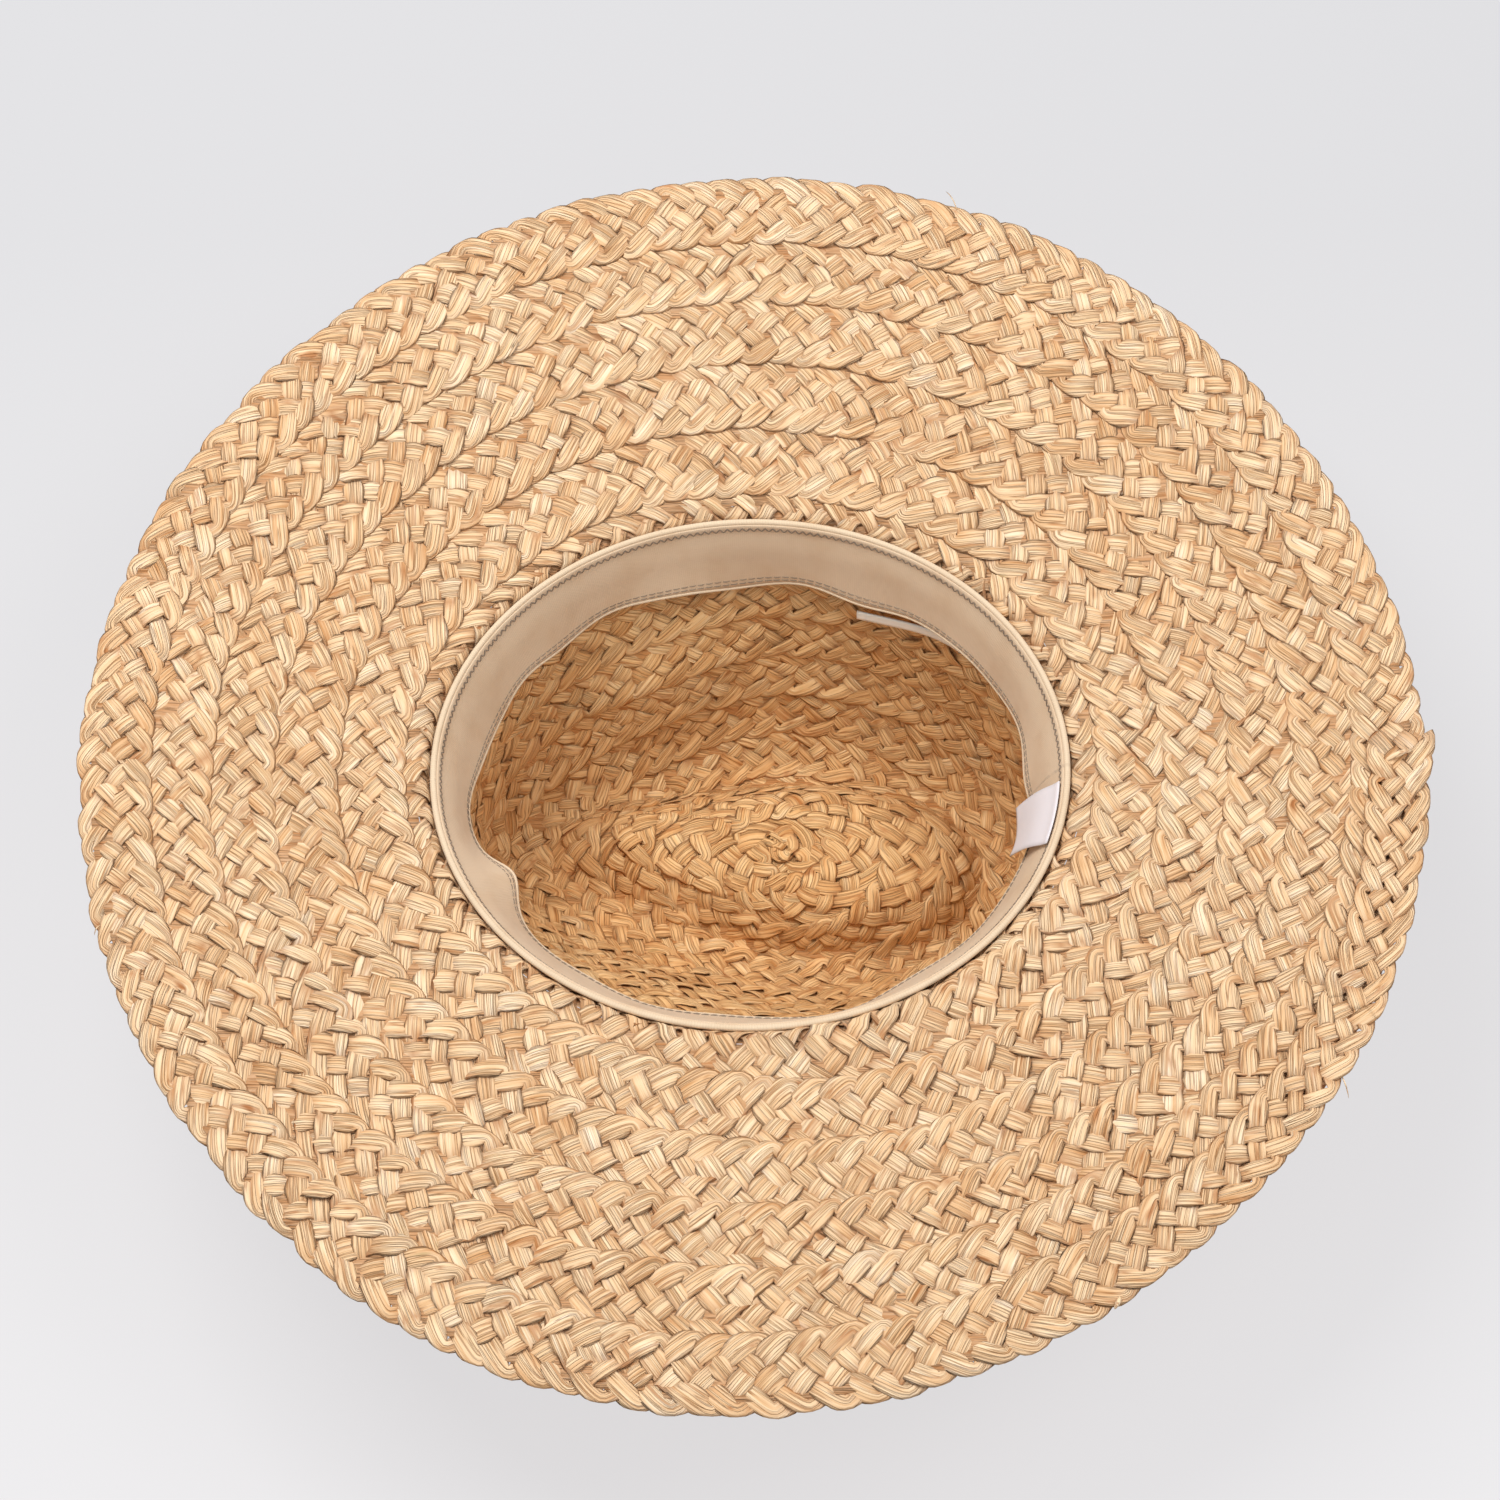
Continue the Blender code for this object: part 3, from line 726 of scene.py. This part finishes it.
def straw_material(name, shade_tint):
    """Below the opening's edge the straw takes the given shade tint, which for the crown's inside is
    darker and warmer as painted shade, and above it a near-white tint. The tint goes from one to the
    other over a short height under the opening's edge."""
    made, tree, shader = new_material(name)
    below_edge = maths(tree, "SUBTRACT", CROWN_HEIGHT - TINT_STARTS_BELOW, object_place(tree)[2])
    deep = maths(tree, "DIVIDE", below_edge, TINT_BLEND, clamp=True)
    fibres = use_group(
        tree, STRAW_FIBRES, Tone=read_attribute(tree, "tone", "Fac"),
        Shade=read_attribute(tree, "shade", "Fac"), Fibre=read_attribute(tree, "fibre", "Vector"),
        Tint=colour_mix(tree, deep, LIT_STRAW_TINT, shade_tint), Spots=0.75, Creases=0.70,
    )
    dress(tree, shader, fibres, bump=1.0, depth=0.0004, specular=0.12)
    return made


STRAW = straw_material("straw", LIT_STRAW_TINT)
SHADED_CROWN_STRAW = straw_material("crown_straw_shaded", PAINTED_SHADE_TINT)
print("straw material with", len(STRAW_FIBRES.nodes), "nodes in its group")

# %% The crown, the brim and the cut end, strand by strand
BRIM_STARTS = float(np.interp(0.0, WINDING, PLAIT_LENGTHS))
TAIL_STARTS = float(np.interp(LAST_ROW + TAIL_SHARE, WINDING, PLAIT_LENGTHS))


def straw_piece(name, ribbons, replaces, coating=STRAW):
    """One mesh of one or more ribbons, each closed at both ends."""
    points, quads, caps, first = [], [], [], 0
    for ribbon in ribbons:
        rings, count = ribbon.points.shape[:2]
        points.append(ribbon.points.reshape(-1, 3))
        quads.append(ring_quads(rings, count, first))
        caps.append(first + np.arange(count))
        caps.append(first + (rings - 1) * count + np.arange(count)[::-1])
        first += rings * count
    return make_piece(
        name, np.concatenate(points), np.concatenate(quads), caps, coating, "straw", replaces,
        tone=np.concatenate([r.tone.ravel() for r in ribbons]),
        shade=np.concatenate([r.shade.ravel() for r in ribbons]),
        fibre=np.concatenate([r.fibre.reshape(-1, 3) for r in ribbons]),
    )


for strand in range(STRANDS):
    crown_ribbon = strand_ribbon(strand, 0.0, BRIM_STARTS)
    straw_piece(f"crown_strand_{strand + 1}", [crown_ribbon], ["crown"], SHADED_CROWN_STRAW)
    straw_piece(f"brim_strand_{strand + 1}", [strand_ribbon(strand, BRIM_STARTS, TAIL_STARTS)], ["brim"])
tail = [strand_ribbon(strand, TAIL_STARTS, PLAIT_LENGTHS[-1]) for strand in range(STRANDS)]
straw_piece("braid_end_strands", tail, ["braid_end"])

# %% [markdown]
# Between the strands one looks into the plait and sees more straw in its shade, not through it. A thin
# layer in the middle of the plait, coloured as dark straw for painted shade, gives that depth. It is a
# ring of points over all the rows, once for its upper side and once for its lower side.

# %% The inside of the plait
CORE_TURNS = 240
CORE_RINGS_PER_ROW = 4
CORE_HEIGHT = 0.00115
CORE_WAVE = 0.0001
CORE_TIP_DROP = 0.0011  # it lies lower under the small rosette at the tip
CORE_THICKNESS = 0.00020
CORE_ABOVE_FLOOR = 0.0002
CORE_ENDS_AT = 4.98


def add_core(name, first_row, last_row, coating, replaces):
    """A closed shell along the rows, with a sine of the row and turn as a low wave."""
    turn = full_turn(CORE_TURNS)[:, None]
    row = np.linspace(first_row, last_row, int((last_row - first_row) * CORE_RINGS_PER_ROW) + 2)[None]
    turn, row = np.broadcast_arrays(turn, row)
    place, normal = on_hat(row, turn)
    height = CORE_HEIGHT + CORE_WAVE * np.sin(3 * row + 40 * turn)
    height = height - CORE_TIP_DROP * (1 - smooth_step((row - TIP_ROW - 0.6) / 1.2))
    upper = place + normal * (height + CORE_THICKNESS / 2)[..., None]
    lower = place + normal * (height - CORE_THICKNESS / 2)[..., None]
    upper[..., 2] = np.maximum(upper[..., 2], CORE_ABOVE_FLOOR + CORE_THICKNESS)
    lower[..., 2] = np.maximum(lower[..., 2], CORE_ABOVE_FLOOR)
    rings = np.concatenate([lower, upper[:, ::-1]], axis=1)
    count = rings.shape[0] * rings.shape[1]
    places = rings.reshape(-1, 3)
    # painted shade: the layer has a low tone and a fixed shade, so it shows as dark straw in the gaps
    hoop_piece(
        name, rings, coating, "straw", replaces,
        tone=np.full(count, 0.4), shade=np.full(count, 0.6), fibre=places[:, [1, 0, 2]],
    )


add_core("crown_plait_inside", TIP_ROW + 0.12, CROWN_EDGE_ROW, SHADED_CROWN_STRAW, ["crown"])
add_core("brim_plait_inside", CROWN_EDGE_ROW + 0.01, CORE_ENDS_AT, STRAW, ["brim"])

# %% [markdown]
# ## Threads
#
# Loose straw fibres, the sewing on the sweatband and its rolled edges are all thin round threads.
# A curve object with a bevel would make one at a time. Here a whole set of equal threads is one
# array of paths, and a small ring of points is carried along all of them at once.

# %% Tubes along many paths


def tubes(paths, radius, sides):
    """Rings of points round each path: cos and sin times the radius across two directions that
    are square to the path. radius may change along the path."""
    tangent = unit(np.gradient(paths, axis=-2))
    first = unit(np.cross([0.0, 0.0, 1.0], tangent))
    second = np.cross(tangent, first)
    angle = 2 * math.pi * np.arange(sides) / sides
    circle = np.cos(angle)[:, None] * first[..., None, :] + np.sin(angle)[:, None] * second[..., None, :]
    radius = np.broadcast_to(radius, paths.shape[:-1])
    return paths[..., None, :] + circle * radius[..., None, None]


def tube_faces(count, rings, sides):
    """Side faces and end caps of a number of equal tubes."""
    size = rings * sides
    first = (np.arange(count) * size)[:, None, None]
    quads = (ring_quads(rings, sides)[None] + first).reshape(-1, 4)[:, ::-1]
    ends = np.arange(count)[:, None] * size + np.arange(sides)
    return quads, [*ends[:, ::-1], *(ends + size - sides)]


def thread_piece(name, paths, radius, sides, coating, slot, **attributes):
    rings = tubes(paths, radius, sides)
    quads, caps = tube_faces(len(paths), paths.shape[1], sides)
    return make_piece(name, rings.reshape(-1, 3), quads, caps, coating, slot, **attributes)


# %% Loose fibres on the brim
LooseFibre = namedtuple("LooseFibre", "row turn run out rise radius")
LOOSE_FIBRES = (
    LooseFibre(4.46, -2.0, 0.8, 0.50, 0.0052, 0.00095),
    LooseFibre(5.05, -31.2, -1.6, 0.35, 0.0020, 0.00022),
    LooseFibre(5.10, -58.3, -0.9, 0.12, 0.0022, 0.00070),
    LooseFibre(5.10, 70.5, 1.4, 0.22, 0.0028, 0.00018),
    LooseFibre(3.10, 118.0, -2.6, 0.20, 0.0034, 0.00022),
    LooseFibre(2.20, 244.0, 3.0, -0.25, 0.0034, 0.00020),
    LooseFibre(1.60, 55.0, 3.4, 0.30, 0.0034, 0.00020),
    LooseFibre(5.10, 196.0, 0.9, 0.13, 0.0026, 0.00020),
)


FIBRE_STEPS = 13


def loose_fibre_paths():
    """From its foot in the plait a fibre runs over a number of degrees and rows, and lifts as a
    half sine that ends at two thirds of its height."""
    share = np.linspace(0, 1, FIBRE_STEPS)[None]
    foot = np.array([[f.row, f.turn, f.run, f.out, f.rise] for f in LOOSE_FIBRES])[..., None]
    row = foot[:, 0] + foot[:, 3] * share
    turn = np.radians(foot[:, 1] + foot[:, 2] * share * (0.7 + 0.3 * share))
    point, normal = on_hat(row, turn)
    height = STRAW_WALL / 2 + foot[:, 4] * np.sin(share * 2.3)
    return point + normal * height[..., None]


def add_loose_fibres():
    paths = loose_fibre_paths()
    taper = np.sqrt(np.clip(1.05 - np.linspace(0, 1, FIBRE_STEPS) ** 4, 0, 1))
    radius = np.array([f.radius for f in LOOSE_FIBRES])[:, None] * taper
    rings, sides = paths.shape[1], 6
    count = len(paths) * rings * sides
    around = np.tile(np.arange(sides) * 0.0004, len(paths) * rings)
    along = np.repeat(np.tile(np.arange(rings) * 0.002, len(paths)), sides)
    thread_piece(
        "loose_fibres", paths, radius, sides, STRAW, "straw",
        tone=np.full(count, 0.72), shade=np.zeros(count),
        fibre=np.stack([around, along, np.zeros(count)], -1),
    )


add_loose_fibres()

# %% [markdown]
# ## Sweatband
#
# A cream ribbon is sewn round the inside of the head opening by its top edge, and its lower edge
# hangs free in soft waves, with one fold at the front. The band could be draped by a simulation,
# but its place is known all the way round, so it is a surface with waves that grow downwards. A
# rolled edge, a zigzag stitch and two straight hem stitches are sewn on as threads.

# %% Shape of the sweatband
BAND_HEIGHT = 0.028
BAND_THICKNESS = 0.0008
BAND_ABOVE_EDGE = 0.0012
BAND_OFF_SIDES = 0.0016
BAND_OFF_ENDS = 0.0062
BAND_RIPPLE = 0.0008
BAND_FOLD_DEPTH = 0.0080
BAND_FOLD_TURN = math.radians(206)
BAND_FOLD_SPREAD = math.radians(7)
BAND_TURNS = 540
ROW_STEP = 0.0010


def way_below_edge(drop):
    """Way on the crown at a height drop under its edge, read back from the table."""
    ways = np.linspace(CROWN_MARKS["ridge outside"].way, CROWN_MARKS["flat"].way, 400)
    heights = CROWN_HEIGHT * crown_column("rise", ways)
    return np.interp(CROWN_HEIGHT - np.asarray(drop, float), heights, ways)


def band_stand_off(drop, turn):
    """Distance from the crown's inside to the band. It leans away from the crown with the share
    of its height, further at the front and back, with small ripples and one deep fold."""
    share = np.clip((drop + BAND_ABOVE_EDGE) / BAND_HEIGHT, 0, None)
    off = BAND_OFF_SIDES + (BAND_OFF_ENDS - BAND_OFF_SIDES) * np.cos(turn) ** 2
    ripple = BAND_RIPPLE * (np.sin(7 * turn + 1.0) + np.sin(11 * turn))
    apart = (turn - BAND_FOLD_TURN + math.pi) % (2 * math.pi) - math.pi
    fold = BAND_FOLD_DEPTH * np.exp(-((apart / BAND_FOLD_SPREAD) ** 2))
    return CLEARANCE + share * (off + ripple * share) + fold * share**2


def inside_band(drop, turn, distance):
    """Point at a distance off the crown's inside wall, drop under the opening's edge."""
    drop, turn, distance = np.broadcast_arrays(drop, turn, distance)
    way = way_below_edge(np.maximum(drop, CROWN_HEIGHT * (1 - CROWN_MARKS["bend"].rise)))
    flat = inward(crown_outside, way, turn)
    flat[..., 2] = 0
    flat = unit(flat)
    point = crown_outside(way, turn) + flat * (STRAW_WALL + distance)[..., None]
    point[..., 2] = CROWN_HEIGHT - drop
    return point


def band_drop(share, turn):
    """Height under the edge of a share of the band. The free edge rises and falls a little."""
    edge = 0.0011 * np.sin(5 * turn + 0.8) + 0.0012 * np.sin(11 * turn + 2.0)
    edge = edge + 0.0005 * np.sin(17 * turn)
    return -BAND_ABOVE_EDGE + 0.0010 + share * (BAND_HEIGHT - 0.0028 + edge * share**2)


def on_band(share, turn, proud):
    """Point on the band's inner face, proud of it towards the head."""
    drop = band_drop(share, turn)
    return inside_band(drop, turn, band_stand_off(drop, turn) + ROW_STEP / 2 + BAND_THICKNESS + proud)


print("band edge at the front:", on_band(np.array(1.0), np.array(math.pi), 0.0).round(4))

# %% Cloth as a node group


def cloth_ribs():
    """Fine ribs are a sine of the place along the cloth, shaken by noise. Slow noise gives dirty and
    sun-faded patches, and the grooves between the ribs are darkened towards the same colour as painted
    shade. The cloth place is metres along, metres down, and a third number."""
    group, given, put = new_group(
        "cloth_ribs",
        [("Place", "Vector", None), ("Colour", "Color", (0.8, 0.8, 0.8, 1.0)),
         ("Soiled", "Color", (0.6, 0.5, 0.4, 1.0)), ("Rib pitch", "Float", 0.0007),
         ("Cross pitch", "Float", 0.0009), ("Patches", "Float", 0.4)],
    )
    parts = add_node(group, "ShaderNodeSeparateXYZ", {0: given["Place"]})

    def waves(place, pitch):
        turns = maths(group, "DIVIDE", place, pitch)
        return maths(group, "SINE", maths(group, "MULTIPLY", turns, 2 * math.pi))

    ribs = waves(parts.outputs[0], given["Rib pitch"])
    crossed = waves(parts.outputs[1], given["Cross pitch"])
    patches = noise(group, given["Place"], 60.0, 3.0, 0.55)
    fuzz = noise(group, given["Place"], 2200.0, 2.0, 0.6)
    weave = maths(group, "MULTIPLY_ADD", maths(group, "MULTIPLY", ribs, crossed), 0.35, ribs)
    height = maths(group, "MULTIPLY_ADD", fuzz, 1.2, maths(group, "MULTIPLY", weave, 0.5))
    faded = maths(group, "MULTIPLY", maths(group, "SUBTRACT", patches, 0.45, clamp=True), 4.0, clamp=True)
    faded = maths(group, "MULTIPLY", faded, given["Patches"])
    colour = colour_mix(group, faded, given["Colour"], given["Soiled"])
    # painted shade: the grooves between the ribs are mixed towards the darker colour
    painted_groove_shade = maths(group, "MULTIPLY_ADD", weave, -0.10, 0.12, clamp=True)
    colour = colour_mix(group, painted_groove_shade, colour, given["Soiled"])
    roughness = maths(group, "MULTIPLY_ADD", fuzz, 0.25, 0.62)
    fill_sockets(group, put, {"Colour": colour, "Roughness": roughness, "Height": height})
    return group


CLOTH_RIBS = cloth_ribs()


def cloth_material(name, colour, soil_and_shade, rib_pitch, cross_pitch, patches, bump, sheen):
    made, tree, shader = new_material(name)
    ribs = use_group(
        tree, CLOTH_RIBS, Place=read_attribute(tree, "cloth", "Vector"), Colour=colour,
        Soiled=soil_and_shade, Rib_pitch=rib_pitch, Cross_pitch=cross_pitch, Patches=patches,
    )
    dress(tree, shader, ribs, bump=bump, depth=0.0001, specular=0.25)
    fill_sockets(tree, shader, {"Sheen Weight": sheen, "Sheen Roughness": 0.5})
    return made


BAND_CLOTH = cloth_material(
    "ribbon", srgb(222, 198, 170), srgb(204, 170, 134), 0.0007, 0.0011, 0.45, 0.6, 0.15
)
PIPING = cloth_material(
    "rolled_edge", srgb(226, 204, 176), srgb(204, 176, 142), 0.0009, 0.0009, 0.3, 0.5, 0.1
)
THREAD = cloth_material(
    "grey_thread", srgb(150, 134, 118), srgb(110, 92, 76), 0.0005, 0.0005, 0.5, 0.4, 0.1
)

# %% The band, its rolled edges and its sewing


def cloth_places(turn, down):
    """Metres along and down the band for every point, with a third number that stays 0."""
    along = np.broadcast_to(turn * HALF_LENGTH, np.broadcast_shapes(turn.shape, down.shape))
    down = np.broadcast_to(down, along.shape)
    return np.stack([along.ravel(), down.ravel(), np.zeros(along.size)], -1)


def add_sweatband():
    turn = full_turn(BAND_TURNS)[:, None]
    share = np.linspace(0.0, 1.0, 15)[None]
    face = on_band(share, turn, 0.0)
    back = on_band(share, turn, -BAND_THICKNESS)
    rings = np.concatenate([face, back[:, ::-1]], axis=1)
    down = np.concatenate([share, share[:, ::-1]], axis=1) * BAND_HEIGHT
    band = hoop_piece(
        "sweatband_ribbon", rings, BAND_CLOTH, "ribbon", ["sweatband"], cloth=cloth_places(turn, down)
    )
    edge = face[:, share.shape[1] // 2]
    around = float(np.linalg.norm(edge - np.roll(edge, 1, axis=0), axis=-1).sum())
    print("the band is", round(around, 3), "m round")
    return band, around


ROLL_SIDES = 8


def rolled_edge(name, share, radius, proud):
    """A thin roll of cloth along one edge of the band."""
    turn = full_turn(BAND_TURNS)
    path = on_band(np.full(BAND_TURNS, share), turn, proud)
    path = np.concatenate([path[-2:], path, path[:2]])
    rings = tubes(path, radius, ROLL_SIDES)[2:-2, ::-1]
    down = (np.arange(ROLL_SIDES) * radius * 0.78)[None]
    return hoop_piece(name, rings, PIPING, "ribbon", cloth=cloth_places(turn[:, None], down))


def stitch_piece(name, start_turn, end_turn, start_share, end_share, radius, arch):
    """Threads laid over the band's inner face. Each rises as a half sine and dips at its ends."""
    t = np.linspace(0, 1, 6)[None]
    turn = start_turn[:, None] * (1 - t) + end_turn[:, None] * t
    share = start_share[:, None] * (1 - t) + end_share[:, None] * t
    paths = on_band(share, turn, arch * np.sin(math.pi * t) - radius * 0.4)
    sides = 5
    places = np.repeat(cloth_places(turn, share * BAND_HEIGHT), sides, axis=0)
    return thread_piece(name, paths, radius, sides, THREAD, "ribbon", cloth=places)


ZIGZAG_PITCH = 0.0022
ZIGZAG_SHARES = (0.055, 0.125)  # heights of its points, as shares of the band
HEM_PITCH = 0.0026
HEM_SHARES = (0.885, 0.935)
HEM_FILLED = 0.80  # share of the pitch that the thread covers
HEM_SHIFT = 0.0022


def add_sewing(around):
    """One zigzag near the top edge and two straight rows near the free edge."""
    legs = 2 * round(around / ZIGZAG_PITCH)
    turn = full_turn(legs)
    high = np.where(np.arange(legs) % 2 == 0, *ZIGZAG_SHARES)
    low = np.roll(high, -1)
    next_turn = turn + 2 * math.pi / legs
    zigzag = stitch_piece("zigzag_stitches", turn, next_turn, high, low, 0.00026, 0.00030)
    count = round(around / HEM_PITCH)
    turn = np.concatenate([full_turn(count), full_turn(count) + HEM_SHIFT])
    share = np.repeat(HEM_SHARES, count)
    reach = 2 * math.pi / count * HEM_FILLED
    hem = stitch_piece("hem_stitches", turn, turn + reach, share, share, 0.00016, 0.00022)
    return zigzag, hem


ribbon_band, band_around = add_sweatband()
top_roll = rolled_edge("band_top_roll", 0.0, 0.00105, -0.00155)
free_roll = rolled_edge("band_free_roll", 1.0, 0.00065, -BAND_THICKNESS / 2)
zigzag, hem = add_sewing(band_around)

# %% [markdown]
# ## Label and tape
#
# A small white care label is sewn in under the band's top edge, and the end of a narrow tape comes out
# from behind the band. Both are strips with a little thickness. The label is left blank: a satin weave
# and a soft curl are what it has to show.

# %% Care label and size tape
LABEL_WIDTH = 0.022
LABEL_LENGTH = 0.027
LABEL_THICKNESS = 0.0005
LABEL_TURN = math.radians(-11.2)
LABEL_STAND_OFF = 0.0032
LABEL_SEAT = 0.0002
TAPE_WIDTH = 0.0035
TAPE_THICKNESS = 0.0006
TAPE_START_TURN = math.radians(30)
TAPE_END_TURN = math.radians(69)
TAPE_START_BELOW = 0.026
TAPE_END_BELOW = 0.0345
TAPE_OFF_WALL = 0.0006
CAD_BAND_THICKNESS = 0.0010

LABEL_SATIN = cloth_material(
    "label_satin", srgb(232, 226, 230), srgb(210, 202, 210), 0.0004, 0.0012, 0.15, 0.25, 0.2
)
TAPE_CLOTH = cloth_material(
    "tape_cloth", srgb(255, 252, 244), srgb(240, 230, 212), 0.0005, 0.0007, 0.2, 0.3, 0.1
)


def strip_piece(name, upper, lower, along, down, coating, slot, replaces):
    """A strip of cloth with an upper and a lower face and closed edges."""
    rings = np.concatenate([upper, lower[:, ::-1]], axis=1)
    count, size = rings.shape[:2]
    quads = ring_quads(count, size)
    caps = [np.arange(size), (count - 1) * size + np.arange(size)[::-1]]
    places = np.stack([
        np.broadcast_to(along, upper.shape[:2]), np.broadcast_to(down, upper.shape[:2]),
        np.zeros(upper.shape[:2]),
    ], -1)
    places = np.concatenate([places, places[:, ::-1]], axis=1).reshape(-1, 3)
    return make_piece(name, rings.reshape(-1, 3), quads, caps, coating, slot, replaces, cloth=places)


def add_label():
    half = LABEL_WIDTH / HEAD_WIDTH
    turn = np.linspace(LABEL_TURN - half, LABEL_TURN + half, 13)[:, None]
    share = np.linspace(0, 1, 17)[None]
    off = band_stand_off(LABEL_LENGTH * share, turn) + ROW_STEP / 2 + CAD_BAND_THICKNESS + CLEARANCE
    off = off + LABEL_SEAT + LABEL_STAND_OFF * np.sin(share * math.pi / 2)
    off = off + 0.0004 * np.sin((turn - LABEL_TURN) / half * 2.2) * share
    lower = inside_band(LABEL_LENGTH * share, turn, off)
    upper = inside_band(LABEL_LENGTH * share, turn, off + LABEL_THICKNESS)
    return strip_piece(
        "blank_care_label", upper, lower, (turn - LABEL_TURN) * HALF_LENGTH, share * LABEL_LENGTH,
        LABEL_SATIN, "label", ["care_label"],
    )


def add_tape():
    share = np.linspace(0, 1, 40)[:, None]
    turn = TAPE_START_TURN + (TAPE_END_TURN - TAPE_START_TURN) * share
    across = np.linspace(-0.5, 0.5, 5)[None]
    drop = TAPE_START_BELOW + (TAPE_END_BELOW - TAPE_START_BELOW) * share + TAPE_WIDTH * across
    off = ROW_STEP / 2 + CLEARANCE + TAPE_OFF_WALL * share + 0.0005 * np.sin(share * 9)
    lower = inside_band(drop, turn, off + 0.0002)
    upper = inside_band(drop, turn, off + 0.0002 + TAPE_THICKNESS)
    tape = strip_piece(
        "size_tape_end", upper, lower, turn * HALF_LENGTH, TAPE_WIDTH * across, TAPE_CLOTH, "tape",
        ["size_tape"],
    )


add_label()
add_tape()

# %% [markdown]
# ## Floor and light
#
# The hat lies on a pale floor under a wide soft light from the upper left, which leaves a broad shadow to
# the lower right. The world gives the even light of a bright studio, and the floor glows as painted
# light, brighter on the near side than on the far side, which keeps the shadow as pale as it is in the
# photograph.

# %% Floor, lights and world
FLOOR_REACH = 6.0


def add_floor():
    mesh = bpy.data.meshes.new("floor")
    around = ((-1, -1), (1, -1), (1, 1), (-1, 1))
    square = [(x * FLOOR_REACH, y * FLOOR_REACH, 0) for x, y in around]
    mesh.from_pydata(square, [], [(0, 1, 2, 3)])
    made, tree, shader = new_material("floor_paper")
    # painted light: the floor glows, brighter towards the near side, which lifts its cast shadow
    to_far = maths(tree, "MULTIPLY_ADD", object_place(tree)[1], 1.9, 0.5, clamp=True)
    glow = ramp(tree, to_far, [(0.0, srgb(210, 209, 211)), (1.0, srgb(190, 190, 193))])
    paper = {"Base Color": srgb(118, 118, 119), "Roughness": 0.9}
    fill_sockets(tree, shader, {**paper, "Emission Color": glow, "Emission Strength": 1.0})
    mesh.materials.append(made)
    add_object("floor", mesh)


def add_light(name, place, size, power, colour):
    """A square lamp that looks at the middle of the hat."""
    lamp = bpy.data.lights.new(name, "AREA")
    lamp.size = size
    lamp.energy = power
    lamp.color = colour
    holder = add_object(name, lamp)
    holder.location = place
    holder.rotation_mode = "QUATERNION"
    holder.rotation_quaternion = (-holder.location).to_track_quat("-Z", "Y")


def add_world(strength):
    world = bpy.data.worlds.new("studio")
    world.use_nodes = True
    world.node_tree.nodes["Background"].inputs[0].default_value = (1.0, 1.0, 1.0, 1.0)
    world.node_tree.nodes["Background"].inputs[1].default_value = strength
    bpy.context.scene.world = world
    bpy.context.scene.view_settings.view_transform = "Standard"


add_floor()
add_light("window", (-0.36, 0.34, 1.15), 0.6, 9.8, (1.0, 0.985, 0.96))
add_light("second_window", (0.60, 0.02, 1.15), 0.5, 4.2, (1.0, 0.97, 0.94))
add_world(0.55)
